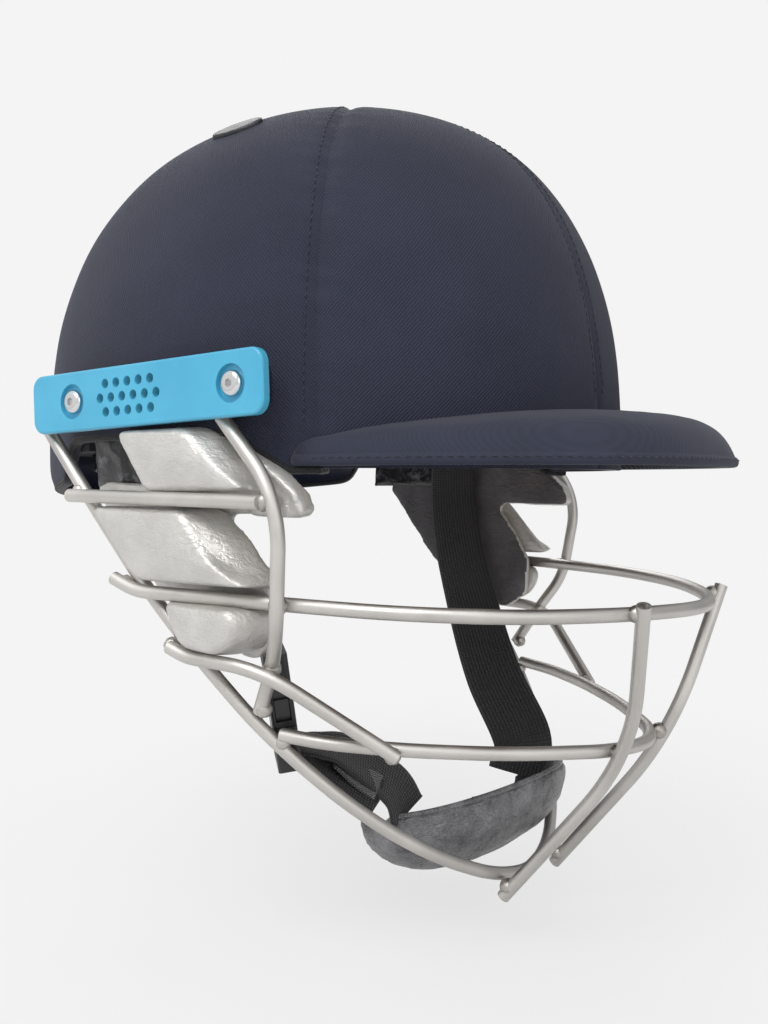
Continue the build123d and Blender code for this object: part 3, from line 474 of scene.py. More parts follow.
def makeCover(name, front, side, material, nodeName):
    # one panel of the dome, cut out of the whole along its seams
    d = domeShape
    c = coverLook
    bm = bmesh.new()
    turns = [math.pi * (step / d["steps"]) - math.pi / 2 for step in range(d["steps"] + 1)]
    if side < 0:
        turns = [math.pi - turn for turn in turns]
    rises = [ring / d["rings"] * c["topShare"] for ring in range(d["rings"] + 1)]
    rows = [[bm.verts.new(onDome(turn, rise, c["base"])) for turn in turns] for rise in rises]
    joinRows(bm, rows)
    top = bm.verts.new(Vector((0, 0, d["crown"] + c["base"])))
    for a, b in zip(rows[-1], rows[-1][1:]):
        bm.faces.new((a, b, top)).smooth = True
    seamNormal = Vector((side * d["seamSlope"], 1, 0)).normalized() * (1 if front else -1)
    for origin, normal in (
        (Vector((0, d["seamApex"], 0)) - seamNormal * c["gap"], seamNormal),
        (Vector((side * c["gap"], 0, 0)), Vector((-side, 0, 0))),
    ):
        whole = list(bm.verts) + list(bm.edges) + list(bm.faces)
        bmesh.ops.bisect_plane(bm, geom=whole, plane_co=origin, plane_no=normal, clear_outer=True, dist=1e-5)
    for vert in bm.verts:
        vert.co = coverSurface(vert.co)
    bmesh.ops.remove_doubles(bm, verts=bm.verts, dist=0.02)
    bmesh.ops.recalc_face_normals(bm, faces=bm.faces)
    centre = Vector((0, 0, 40))
    faces = list(bm.faces)
    if sum((face.calc_center_median() - centre).dot(face.normal) for face in faces) < 0:
        bmesh.ops.reverse_faces(bm, faces=faces)
    layWeave(bm, lambda vert: (
        math.atan2(vert.co.y, abs(vert.co.x)) * c["girth"],
        math.atan2(vert.co.z, math.hypot(vert.co.x, vert.co.y)) * c["rise"]))
    bmesh.ops.scale(bm, vec=(mm, mm, mm), verts=bm.verts)
    area = sum(face.calc_area() for face in bm.faces)
    piece = meshPiece(name, bm, material)
    applyModifier(piece, "SOLIDIFY", thickness=c["thickness"] * mm, offset=-1)
    applyModifier(piece, "BEVEL", width=c["edge"] * mm, segments=2, limit_method="ANGLE", angle_limit=1.0)
    smooth(piece, 50)
    keep(piece, "helmet", "navy_cloth", nodeName)


for sideName, sideSign in (("left", 1), ("right", -1)):
    makeCover("coverFront." + sideName, True, sideSign, "navyTwill", "cover_front_" + sideName)
    makeCover("coverRear." + sideName, False, sideSign, "navyTwillRear", "cover_rear_" + sideName)
print("covers made")


# the peak: a stiffened brim swept down and out from the brow
peakShape = {
    "halfWidth": 96.0, "reach": 107.5, "root": -50.0, "squareness": 2.25, "edgeTop": 1.4, "edgeLow": -2.3,
    "seamFront": 18.0, "seamRear": 8.0, "bury": 5.0, "slope": 0.52, "lip": 9.0, "steps": 120, "rings": 30,
    "edgeRound": 1.6, "roll": 6, "body": 5.0, "liningReach": 0.8, "sewn": 1.1,
}


def peakPoint(angle, share, inset=0.0):
    p = peakShape
    d = domeShape
    power = 2 / p["squareness"]
    sine = abs(math.sin(angle)) ** power
    cosine = math.copysign(abs(math.cos(angle)) ** power, math.cos(angle))
    sunk = coverLook["base"] - p["bury"]
    seamFrontLength = d["front"] + sunk
    seamReach = seamFrontLength + p["root"]
    edgeX = (p["halfWidth"] - inset) * cosine
    edgeY = p["root"] - (p["reach"] - inset) * sine
    seamY = p["root"] - seamReach * sine
    seamX = (d["halfWidth"] + sunk) * math.sqrt(max(0, 1 - (seamY / seamFrontLength) ** 2))
    seamX = math.copysign(seamX, cosine)
    x = seamX + (edgeX - seamX) * share
    y = seamY + (edgeY - seamY) * share
    climb = (p["seamFront"] - p["seamRear"]) / seamReach
    seamZ = p["seamRear"] + climb * (p["root"] - y)
    drop = p["slope"] * share + (1 - p["slope"]) * share ** p["lip"]
    return Vector((x, y, seamZ + (p["edgeTop"] - seamZ) * drop))


def makePeak():
    # top cloth and lining in one closed skin, rolled round the board's edge
    p = peakShape
    bm = bmesh.new()
    angles = [math.pi * step / p["steps"] for step in range(p["steps"] + 1)]
    loops = []
    for ring in range(p["rings"] + 1):
        share = 1 - (1 - ring / p["rings"]) ** 1.5
        row = []
        for angle in angles:
            point = peakPoint(angle, share)
            ripple = 0.25 * noise.noise(point / 22) + 0.12 * noise.noise(point / 6)
            point.z += ripple * min(1, share * 4)
            row.append(bm.verts.new(point))
        loops.append(row)
    for step in range(1, p["roll"] + 1):
        turn = math.pi * step / p["roll"]
        out = p["edgeRound"] * math.sin(turn) * 0.8
        drop = (p["edgeTop"] - p["edgeLow"]) / 2 * (1 - math.cos(turn))
        loops.append([bm.verts.new(peakPoint(angle, 1, -out) - Vector((0, 0, drop))) for angle in angles])
    lining = []
    for ring in range(1, p["rings"] + 1):
        share = 1 - (ring / p["rings"]) * p["liningReach"]
        row = []
        for angle in angles:
            point = peakPoint(angle, share, p["body"])
            point.z = max(p["edgeLow"], point.z - p["body"])
            row.append(bm.verts.new(point))
        lining.append(row)
    joinRows(bm, loops + lining[:1])
    for face in joinRows(bm, lining):
        face.material_index = 1
    for end in (0, -1):
        column = [row[end] for row in loops + lining]
        bm.faces.new(column if end else column[::-1])
    layWeave(bm, lambda vert: (vert.co.x, vert.co.y - vert.co.z))
    piece = builtPiece("peakCloth", bm, "peakTwill")
    piece.data.materials.append(materials["underCloth"])
    keep(piece, "helmet", "navy_cloth", "peak_cover", "peak_lining")


makePeak()
print("peak made")


# padded pieces

clothRun = {"pressure": 4.0, "frames": 20, "stiffness": 18.0, "bending": 2.0, "quality": 4}


def inflate(piece, voxel, cap):
    # an even mesh, smoothed once
    applyModifier(piece, "REMESH", mode="VOXEL", voxel_size=voxel * mm)
    swell(piece, cap)
    applyModifier(piece, "SUBSURF", levels=1, render_levels=1)


def swell(piece, cap):
    # the cover swells over its foam by simulation, each point by no more than the cap
    c = clothRun
    cloth = piece.modifiers.new("Cloth", "CLOTH")
    settings = cloth.settings
    settings.use_pressure = True
    settings.uniform_pressure_force = c["pressure"]
    settings.effector_weights.gravity = 0
    settings.tension_stiffness = settings.compression_stiffness = c["stiffness"]
    settings.bending_stiffness = c["bending"]
    settings.quality = c["quality"]
    cloth.point_cache.frame_start = 1
    cloth.point_cache.frame_end = c["frames"]
    scene = bpy.context.scene
    for number in range(1, c["frames"] + 1):
        scene.frame_set(number)
    graph = bpy.context.evaluated_depsgraph_get()
    swollen = [vert.co.copy() for vert in piece.evaluated_get(graph).data.vertices]
    piece.modifiers.remove(cloth)
    for vert, target in zip(piece.data.vertices, swollen):
        move = target - vert.co
        if move.length > cap * mm:
            move = move.normalized() * cap * mm
        vert.co += move
    scene.frame_set(1)


def wrinkle(piece, depth, size, stretch=(1, 1, 1)):
    # creases of the skin, pushed along the surface, in millimetres
    mesh = piece.data
    for vert, normal in [(vert, vert.normal.copy()) for vert in mesh.vertices]:
        place = Vector(a * b for a, b in zip(vert.co / mm / size, stretch))
        crease = 1 - abs(noise.noise(place)) * 2
        vert.co += normal * (crease ** 3 - 0.35) * depth * mm
    mesh.update()


def finishPad(piece, fill, body, slot, *replaced):
    smooth(piece)
    keep(piece, body, slot, *replaced)


def roundedOutline(corners, radius, runs=8, arc=8):
    # the same count of points on every edge and corner, so that two outlines match point by point
    points = []
    count = len(corners)
    for index, corner in enumerate(corners):
        here = Vector(corner)
        after = Vector(corners[(index + 1) % count])
        backward = (Vector(corners[index - 1]) - here).normalized() * radius[index]
        forward = (after - here).normalized() * radius[index]
        for step in range(arc + 1):
            t = step / arc
            points.append(here + backward * (1 - t) ** 2 + forward * t ** 2)
        start = here + forward
        end = after + (here - after).normalized() * radius[(index + 1) % count]
        points += [start.lerp(end, step / runs) for step in range(1, runs)]
    return points


panelShape = {"topX": 100.4, "topZ": 5.5, "lean": math.tan(math.radians(6.6))}


def panelX(z):
    # outer face of the leaning ear panel
    return panelShape["topX"] - (panelShape["topZ"] - z) * panelShape["lean"]


# bulge of a pad's side, its height over the panel, and the steps round its edge
padSkin = {"bulge": 0.7, "seat": 0.35, "arc": 5}

# side view outlines (y, z): the outer face and, wider at the front, the base on the panel
earPads = {
    "upper": {
        "face": [(17.5, 10.2), (-17.0, 10.2), (-32.0, -2.5), (-45.5, -10.4), (2.5, -10.8)],
        "base": [(17.0, 10.2), (-25.0, 10.2), (-38.5, -2.5), (-46.5, -10.6), (2.5, -10.8)],
        "radius": [5.0, 5.0, 8.0, 2.5, 3.0], "outer": 112.6, "edge": 2.2, "crown": 0.9,
    },
    "middle": {
        "face": [(30.5, -16.2), (-15.0, -16.6), (-26.0, -31.5), (-43.0, -41.0), (7.6, -41.2)],
        "base": [(28.8, -16.2), (-24.0, -16.6), (-37.0, -30.0), (-46.5, -41.6), (7.0, -41.2)],
        "radius": [4.0, 4.0, 8.0, 2.5, 4.0], "outer": 112.6, "edge": 2.2, "crown": 1.0,
    },
    "lower": {
        "face": [(-2.5, -47.8), (-36.5, -49.0), (-36.5, -58.5), (-26.0, -65.0), (-10.0, -62.8)],
        "base": [(-3.0, -47.6), (-42.5, -49.0), (-40.0, -61.0), (-26.0, -66.2), (-9.0, -64.0)],
        "radius": [3.5, 5.0, 6.0, 6.0, 4.0], "outer": 109.8, "edge": 2.8, "crown": 1.0,
    },
}


def makeEarPad(level, side, sideName):
    # a foam block in silver skin: flat outer face, a rounded ridge and a steep front face
    p = earPads[level]
    face = roundedOutline(p["face"], p["radius"])
    base = roundedOutline(p["base"], p["radius"])
    middle = sum(face, Vector((0, 0))) / len(face)
    rows = []
    for climb in (0.0, 0.25, 0.5, 0.75, 0.92):
        row = []
        for low, high in zip(base, face):
            spot = low.lerp(high, climb)
            spot += (spot - middle).normalized() * padSkin["bulge"] * math.sin(math.pi * climb)
            bottom = panelX(low.y) + padSkin["seat"]
            row.append((bottom + (p["outer"] - p["edge"] - bottom) * climb, spot))
        rows.append(row)
    for step in range(1, padSkin["arc"] + 1):
        turn = math.pi / 2 * step / padSkin["arc"]
        x = p["outer"] - p["edge"] * (1 - math.sin(turn))
        inward = p["edge"] * (1 - math.cos(turn))
        rows.append([(x, spot + (middle - spot).normalized() * inward) for spot in face])
    shrunk = rows[-1]
    for share in (0.8, 0.6, 0.4, 0.2):
        rows.append([(x + p["crown"] * (1 - share ** 2), middle.lerp(spot, share)) for x, spot in shrunk])
    bm = bmesh.new()
    verts = [[bm.verts.new((side * x, spot.x, spot.y)) for x, spot in row] for row in rows]
    joinRows(bm, verts, closed=True)
    tip = bm.verts.new((side * (p["outer"] + p["crown"]), middle.x, middle.y))
    for a, b in zip(verts[-1], verts[-1][1:] + verts[-1][:1]):
        bm.faces.new((a, b, tip))
    bm.faces.new(verts[0])
    piece = builtPiece("earPad." + level + "." + sideName, bm, "silverLeather")
    inflate(piece, 1.5, 0.7)
    wrinkle(piece, 0.09, 5.0, (1, 0.7, 1.4))
    finishPad(piece, 0.9, "helmet", "silver_leather", "ear_pad_" + level + "_" + sideName)


# the wing's front edge, in shares of its length and drop, from its top corner down, and its two
# rolls: place behind the edge, width and height
panelOutline = {
    "frontY": -59.0, "length": 104.0, "drop": 74.5,
    "frontRun": [(0.23, 0.01), (0.115, 0.115), (0.03, 0.21), (0.00, 0.325)],
    "ridges": ((1.8, 1.5, 1.2), (6.4, 1.5, 1.5)),
}


def distanceToRun(spot, run):
    best = 1e9
    for start, end in zip(run, run[1:]):
        along = end - start
        share = max(0, min(1, (spot - start).dot(along) / along.length_squared))
        best = min(best, (spot - start - along * share).length)
    return best


def makeEarPanel(side, sideName):
    # thin padded wing behind the ear pads, its front edge folded into two rolls
    o = panelOutline
    piece = copyOfNode("ear_panel_" + sideName, "earPanel." + sideName, "silverLeather")
    inflate(piece, 1.6, 0.5)
    run = [Vector((o["frontY"] + along * o["length"], panelShape["topZ"] - down * o["drop"]))
           for along, down in o["frontRun"]]
    for vert in piece.data.vertices:
        place = vert.co / mm
        if side * place.x - panelX(place.z) < -1.5 or place.y > 5:
            continue
        gap = distanceToRun(Vector((place.y, place.z)), run)
        lift = sum(height * math.exp(-((gap - at) / width) ** 2) for at, width, height in o["ridges"])
        vert.co.x += side * lift * mm
    wrinkle(piece, 0.1, 5.0)
    piece.data.materials.append(materials["greySuede"])
    for face in piece.data.polygons:
        if face.normal.x * side < -0.6:
            face.material_index = 1
    finishPad(piece, 0.7, "helmet", "silver_leather", "ear_panel_" + sideName)


def makeInnerPad(node, name, material, slot, voxel=3.5, cap=2.0, depth=0.3):
    piece = copyOfNode(node, name, material)
    inflate(piece, voxel, cap)
    wrinkle(piece, depth, 12.0)
    finishPad(piece, 0.7, "helmet", slot, node)


filmShape = {"rear": 50.0, "front": 14.0, "low": -10.0, "top": 10.5, "behind": 4.6, "thickness": 1.8,
             "steps": 40, "rows": 22}


def makeTempleFilm(side, sideName):
    # creased film that closes the inside of the ear opening, behind the panel
    f = filmShape
    bm = bmesh.new()
    layers = []
    for depth in (0.0, f["thickness"]):
        rows = []
        for row in range(f["rows"] + 1):
            z = f["low"] + (f["top"] - f["low"]) * row / f["rows"]
            line = []
            for step in range(f["steps"] + 1):
                y = f["front"] + (f["rear"] - f["front"]) * step / f["steps"]
                edge = math.sin(math.pi * row / f["rows"]) * math.sin(math.pi * step / f["steps"])
                puff = 0.5 * noise.noise(Vector((y / 6, z / 5, 2.0))) * min(1, 3 * edge)
                x = panelX(z) - f["behind"] - depth + puff - 0.008 * (y - f["front"]) ** 1.6
                line.append(bm.verts.new((side * x, y, z)))
            rows.append(line)
        layers.append(rows)
        joinRows(bm, rows, smoothed=False)
    rims = [[rows[0], rows[-1], [row[0] for row in rows], [row[-1] for row in rows]] for rows in layers]
    for near, far in zip(*rims):
        joinRows(bm, (near, far), smoothed=False)
    piece = builtPiece("templeFilm." + sideName, bm, "blackPadding")
    inflate(piece, 0.9, 0.3)
    finishPad(piece, 0.7, "helmet", "pad_lining")


for sideName, sideSign in (("left", 1), ("right", -1)):
    for level in earPads:
        makeEarPad(level, sideSign, sideName)
    makeEarPanel(sideSign, sideName)
    makeInnerPad("side_pad_" + sideName, "sidePad." + sideName, "blackPadding", "pad_lining", 2.5, 1.0, 0.7)
    makeTempleFilm(sideSign, sideName)
makeInnerPad("brow_pad", "browPad", "browCloth", "brow_cloth")
makeInnerPad("nape_pad", "napePad", "linerPad", "pad_lining")
makeInnerPad("crown_pad", "crownPad", "linerPad", "pad_lining")
print("pads made")


# the chin harness

# places in millimetres; shares run from a rivet to the strap's end
harness = {
    "pivotY": 3.5, "pivotZ": 20.0, "topX": 99.6, "endLift": 7.0, "drop": 5.2, "width": 25.0,
    "thickness": 1.5, "dish": 0.35, "waver": 0.15, "roundFrom": 0.82, "steps": 10, "buckleTurn": 46.0,
    "leftEnd": (48.0, -65.0, -117.5), "leftTurn": -15.0,
    "leftShares": ((0.14, 0.01, 0.088), (0.19, 0.025, 0.262), (0.31, 0.135, 0.45), (0.44, 0.3, 0.635),
                   (0.75, 0.59, 0.835)),
    "leftTail": ((44.8, -60.0, -117.5), (42.5, -59.0, -133.0)),
    "upperEnd": (-74.6, -21.2, -64.0),
    "upperShares": ((0.29, 0.03, 0.145), (0.41, 0.08, 0.425), (0.7, 0.42, 0.72)),
    "lowerRun": ((-70.6, -26.3, -101.5), (-62.5, -33.5, -102.5), (-54.6, -41.0, -105.8),
                 (-41.8, -52.4, -119.0), (-38.4, -56.0, -129.0)),
    "lowerSide": (0.92, 0.15, 0.36),
    "tailRun": ((-71.0, -30.0, -104.0), (-62.6, -43.5, -112.0), (-54.5, -55.0, -120.3)),
    "tailSide": (0.874, 0.26, 0.41), "tailWidth": 22.0,
    "patchWidth": 13.0, "patchShares": (-0.25, 0.35, 0.86), "patchLift": 1.2, "patchAside": 3.0,
}


def between(start, end, shares):
    return Vector(a + (b - a) * share for a, b, share in zip(start, end, shares))


def turnedWidth(degrees):
    angle = math.radians(degrees)
    return Vector((math.sin(angle), math.cos(angle), 0))


def smoothRun(points, steps):
    # a soft line through the places, as webbing hangs
    runs = []
    last = len(points) - 1
    for index in range(last):
        p0 = points[max(index - 1, 0)]
        p1, p2 = points[index], points[index + 1]
        p3 = points[min(index + 2, last)]
        for step in range(steps):
            t = step / steps
            runs.append(0.5 * ((2 * p1) + (p2 - p0) * t + (2 * p0 - 5 * p1 + 4 * p2 - p3) * t ** 2
                               + (3 * p1 - p0 - 3 * p2 + p3) * t ** 3))
    runs.append(points[-1])
    return runs


def makeWebbing(name, points, sides, width, replaced=(), roundEnd=False, material="webbing"):
    # flat woven tape: rounded edges, and a slight dish across its width
    h = harness
    centres = smoothRun(points, h["steps"])
    widths = smoothRun(sides, h["steps"])
    across = [-1, -0.97, -0.8, -0.4, 0, 0.4, 0.8, 0.97, 1]
    bm = bmesh.new()
    rows = []
    weave = []
    length = 0.0
    for index, (centre, side) in enumerate(zip(centres, widths)):
        before = centres[max(index - 1, 0)]
        along = (centres[min(index + 1, len(centres) - 1)] - before).normalized()
        side = (side - along * side.dot(along)).normalized()
        face = along.cross(side).normalized()
        share = index / (len(centres) - 1)
        half = width / 2
        if roundEnd and share > h["roundFrom"]:
            half *= math.sqrt(max(0.03, 1 - ((share - h["roundFrom"]) / (1 - h["roundFrom"])) ** 2))
        if index:
            length += (centre - before).length
        ring = []
        for sign in (1, -1):
            for place in across[::sign]:
                edge = h["thickness"] / 2 * math.sqrt(max(0.06, 1 - max(0, (abs(place) - 0.9) / 0.1) ** 2))
                dish = h["dish"] * (place ** 2 - 0.4)
                dish += h["waver"] * noise.noise(Vector((length / 14, place * 2, 5.0)))
                dish *= min(1, share * 4)
                ring.append(bm.verts.new(centre + side * place * half + face * (sign * edge + dish)))
                weave.append((place * half, length))
        rows.append(ring)
    joinRows(bm, rows, closed=True)
    capRows(bm, rows)
    bm.verts.index_update()
    layWeave(bm, lambda vert: weave[vert.index])
    piece = builtPiece(name, bm, material)
    smooth(piece, 50)
    keep(piece, "chin_harness", "webbing", *replaced)


def hangingWebbing(name, side, end, shares, endTurn, nodeName):
    h = harness
    rivet = Vector((side * h["topX"], h["pivotY"], h["pivotZ"]))
    points = [rivet + Vector((0, 0, h["endLift"])), rivet, rivet - Vector((0, 0, h["drop"]))]
    points += [between(rivet, end, row) for row in shares]
    points += [Vector(spot) for spot in h["leftTail"]] if side > 0 else [Vector(end)]
    drop = rivet.z - end[2]
    sides = [turnedWidth(endTurn * max(0, (rivet.z - point.z) / drop) ** 2) for point in points]
    makeWebbing(name, points, sides, h["width"], [nodeName])


def makeHarness():
    h = harness
    hangingWebbing("strap.left", 1, h["leftEnd"], h["leftShares"], h["leftTurn"], "strap_left")
    hangingWebbing("strap.upperRight", -1, h["upperEnd"], h["upperShares"], h["buckleTurn"], "strap_upper")
    plugSide = turnedWidth(h["buckleTurn"])
    lowerSide = Vector(h["lowerSide"])
    points = [Vector(spot) for spot in h["lowerRun"]]
    last = len(points) - 1
    sides = [plugSide.lerp(lowerSide, index / last) for index in range(last + 1)]
    makeWebbing("strap.lowerRight", points, sides, h["width"], ["strap_lower"])
    tailSide = Vector(h["tailSide"])
    points = [Vector(spot) for spot in h["tailRun"]]
    sides = [plugSide, plugSide.lerp(tailSide, 0.7), tailSide]
    makeWebbing("strap.tail", points, sides, h["tailWidth"], ["strap_tail"], True)
    outward = (points[2] - points[0]).cross(tailSide).normalized()
    if outward.x > 0:
        outward = -outward
    aside = outward * h["patchLift"] + tailSide * h["patchAside"]
    raised = [points[1].lerp(points[2], share) + aside for share in h["patchShares"]]
    makeWebbing("loopPatch", raised, sides, h["patchWidth"], material="loopFelt")


makeHarness()


cupShape = {
    "centre": (1.5, -57.0, -128.6), "turn": math.radians(-13.2), "halfLength": 49.0, "reach": 27.0,
    "tilt": 0.055, "depth": 27.0, "wall": 4.6, "fullness": 2.5, "rise": 5.0, "rear": 9.0,
    "crease": 1.1, "creaseAt": 0.52, "around": 40, "along": 72, "piping": 1.15, "pipingSteps": 40,
}


def cupPoint(share, angle, inset):
    # share -1..1 along the cup, angle from the front rim (0) down and round under the chin (1)
    c = cupShape
    taper = (1 - min(1, abs(share)) ** c["fullness"]) ** (1 / c["fullness"])
    reach = max(0.6, c["reach"] * taper - inset)
    depth = max(0.6, c["depth"] * taper - inset)
    startAngle = math.asin(min(0.9, c["rise"] * taper / depth)) if depth > 1 else 0.1
    endAngle = math.pi / 2 + math.asin(min(0.9, c["rear"] / max(reach, c["rear"] + 1)))
    turn = -startAngle + (endAngle + startAngle) * angle
    crease = c["crease"] * math.exp(-((angle - c["creaseAt"]) / 0.05) ** 2) * (1 - share ** 2)
    y = -(reach - crease) * math.cos(turn)
    x = (c["halfLength"] - inset * 0.6) * share
    z = c["tilt"] * x - (depth - crease) * math.sin(turn)
    spot = Vector((x, y, z))
    spot.rotate(Matrix.Rotation(c["turn"], 3, "Z"))
    return spot + Vector(c["centre"])


def alongCup(steps, reach):
    # even steps of a half turn, so the rows lie closer towards the cup's ends
    return [math.sin(math.pi / 2 * (2 * step / steps - 1)) * reach for step in range(steps + 1)]


def makeChinCup():
    # two panels of coated cloth over foam, piped round the rim
    c = cupShape
    bm = bmesh.new()
    turns = [turn / c["around"] for turn in range(c["around"] + 1)]
    rows = []
    for share in alongCup(c["along"], 0.985):
        skins = [(turn, 0) for turn in turns] + [(turn, c["wall"]) for turn in turns[::-1]]
        rows.append([bm.verts.new(cupPoint(share, turn, inset)) for turn, inset in skins])
    joinRows(bm, rows, closed=True)
    bm.faces.new(rows[0])
    bm.faces.new(rows[-1][::-1])
    piece = builtPiece("chinCup", bm, "cupLeather")
    inflate(piece, 1.6, 0.8)
    wrinkle(piece, 0.25, 5.5, (0.7, 1, 1.3))
    piece.data.materials.append(materials["cupLining"])
    centre = Vector(c["centre"]) * mm
    for face in piece.data.polygons:
        if face.normal.dot(centre - face.center) > 0.25 * (centre - face.center).length:
            face.material_index = 1
    finishPad(piece, 0.8, "chin_harness", "cup_leather", "chin_cup", "chin_cup_lining")
    for name, angle in (("cupPiping.front", 0.0), ("cupPiping.rear", 1.0)):
        points = [cupPoint(share, angle, c["wall"] * 0.35) for share in alongCup(c["pipingSteps"], 0.97)]
        makeWelt(name, points, c["piping"], "cupLeather", "chin_harness", "cup_leather")


def makeWelt(name, points, radius, material, body, slot):
    # a thin round welt along these places
    bm = bmesh.new()
    rows = []
    last = len(points) - 1
    normal = None
    for index, point in enumerate(points):
        along = (points[min(index + 1, last)] - points[max(index - 1, 0)]).normalized()
        if normal is None:
            normal = along.orthogonal().normalized()
        normal = (normal - along * normal.dot(along)).normalized()
        rows.append(circleRow(bm, point, normal, along.cross(normal), radius, 8))
    joinRows(bm, rows, closed=True)
    capRows(bm, rows)
    keep(builtPiece(name, bm, material), body, slot)


makeChinCup()
print("harness made")


# trim: binding, stitches and welds

bindingShape = {
    "thickness": 1.5, "depth": 2.4, "inward": 1.0, "sides": 16, "threads": 0.6, "pucker": 0.12,
    "startTurn": -0.62, "startY": -58.0, "lift": 0.6, "drop": -0.4, "steps": 150,
}


def rimRun(side):
    # places along the rim of the dome, from the peak's root round to the nape
    b = bindingShape
    points = []
    for step in range(b["steps"] + 1):
        turn = b["startTurn"] + (math.pi / 2 - b["startTurn"]) * step / b["steps"]
        spot = domePoint(turn, 0, b["lift"])
        if spot.y >= b["startY"]:
            spot = domePoint(turn, rimHeight(spot.y) + b["drop"], b["lift"])
            points.append(Vector((side * spot.x, spot.y, spot.z)))
    return points


def signedPower(value, power):
    return math.copysign(abs(value) ** power, value)


def makeBinding():
    # folded tape round the lower edge of shell and cloth
    b = bindingShape
    points = rimRun(1) + rimRun(-1)[::-1][1:]
    bm = bmesh.new()
    rows = []
    weave = []
    length = 0.0
    for index, point in enumerate(points):
        if index:
            length += (point - points[index - 1]).length
        normal = domeNormal(point)
        normal.z = 0
        normal.normalize()
        ring = []
        for step in range(b["sides"]):
            turn = 2 * math.pi * step / b["sides"]
            out = signedPower(math.cos(turn), 0.5) * b["depth"] - b["inward"]
            up = signedPower(math.sin(turn), 0.8) * b["thickness"]
            pucker = b["pucker"] * noise.noise(Vector((length / 3, step / 3, 1.0)))
            ring.append(bm.verts.new(point + normal * (out + pucker) + Vector((0, 0, up))))
            weave.append((step * b["threads"], length))
        rows.append(ring)
    joinRows(bm, rows, closed=True)
    capRows(bm, rows)
    bm.verts.index_update()
    layWeave(bm, lambda vert: weave[vert.index])
    keep(builtPiece("rimBinding", bm, "bindingTape"), "helmet", "binding_tape", "edge_binding")


makeBinding()


def makeStitches(name, runs, length, gap=0.9, radius=0.2, sides=6, parts=4):
    # each stitch is a short thread that dips into the cloth at both ends
    bm = bmesh.new()
    for points, normals in runs:
        distance = [0.0]
        for a, b in zip(points, points[1:]):
            distance.append(distance[-1] + (b - a).length)

        def at(run):
            index = 0
            while index < len(points) - 2 and distance[index + 1] < run:
                index += 1
            span = distance[index + 1] - distance[index]
            share = (run - distance[index]) / span if span else 0
            return [line[index].lerp(line[index + 1], share) for line in (points, normals)]

        run = gap
        while run + length < distance[-1]:
            rows = []
            for part in range(parts + 1):
                share = part / parts
                here = run + length * share
                place, normal = at(here)
                normal = normal.normalized()
                along = (at(min(here + 0.2, distance[-1]))[0] - at(here - 0.2)[0]).normalized()
                rise = math.sin(math.pi * share)
                centre = place + normal * radius * (1.5 * rise - 0.55)
                size = radius * (0.5 + 0.5 * rise)
                rows.append(circleRow(bm, centre, along.cross(normal), normal, size, sides))
            joinRows(bm, rows, closed=True)
            capRows(bm, rows)
            run += length + gap
    keep(builtPiece(name, bm, "navyThread"), "helmet", "navy_cloth")


def coverRun(points):
    # lay a line of places on the cloth
    normals = [domeNormal(point) for point in points]
    return [coverSurface(point) + normal * 0.05 for point, normal in zip(points, normals)], normals


# where the stitching runs, in millimetres: its distance from a seam, and how far it stays off the
# rim, the crown and the peak's edge
stitching = {
    "behindSeam": 3.4, "besideMiddle": 3.2, "offRim": 2, "offCrown": 6, "sideLow": 4, "middleLow": 20,
    "lipOut": 1.15, "lipDown": 1.2, "coverStitch": 2.2, "lipStitch": 2.4,
}


def seamPlaces(side):
    # places along a slanted side seam, a little behind its line
    d = domeShape
    lift = coverLook["base"]
    places = []
    for step in range(1, 90):
        z = d["crown"] + lift - (d["crown"] - stitching["sideLow"]) * (step / 90) ** 1.6
        low, high = -math.pi / 2, 0.4
        for _ in range(30):
            turn = (low + high) / 2
            if sideSeam(domePoint(turn, z, lift)) < stitching["behindSeam"]:
                low = turn
            else:
                high = turn
        spot = domePoint(low, z, lift)
        if spot.z < rimHeight(spot.y) + stitching["offRim"] or spot.length < 1:
            break
        places.append(Vector((side * spot.x, spot.y, spot.z)))
    return places


def middlePlaces(side):
    # places beside the middle seam, from the crown down to the brow
    d = domeShape
    lift = coverLook["base"]
    heights = [d["crown"] + lift - (d["crown"] - stitching["middleLow"]) * (step / 80) ** 1.7
               for step in range(2, 80)]
    spots = [domePoint(-math.pi / 2, z, lift) for z in heights]
    return [Vector((side * stitching["besideMiddle"], spot.y, spot.z)) for spot in spots
            if spot.y <= d["seamApex"] - stitching["offCrown"]]


runs = [coverRun(placesOf(side)) for placesOf in (seamPlaces, middlePlaces) for side in (1, -1)]
makeStitches("coverStitches", runs, stitching["coverStitch"])
lipDown = Vector((0, 0, stitching["lipDown"]))
lipRun = [peakPoint(math.pi * step / 160, 1, -stitching["lipOut"]) - lipDown for step in range(2, 159)]
lipNormals = [Vector((point.x / 96, (point.y + 50) / 107, 0)).normalized() for point in lipRun]
makeStitches("peakStitches", [(lipRun, lipNormals)], stitching["lipStitch"])


# guard tube joints (x, y, z) on the left, in millimetres, and the size of each bead
weldPlaces = (
    (109.4, -49.0, -13.8, 3.0), (104.0, -50.3, -46.8, 3.1), (97.0, -41.8, -68.4, 3.0),
    (92.4, -34.0, -84.0, 2.9), (107.0, 41.0, -11.0, 3.0), (107.8, 16.0, -43.0, 2.9),
    (38.0, -143.5, -49.6, 3.0), (19.4, -130.0, -100.0, 3.0), (21.2, -88.6, -155.0, 3.0),
    (76.6, -75.5, -97.0, 2.9), (104.0, -2.6, -63.6, 2.9), (86.6, -37.2, -96.0, 2.9),
)


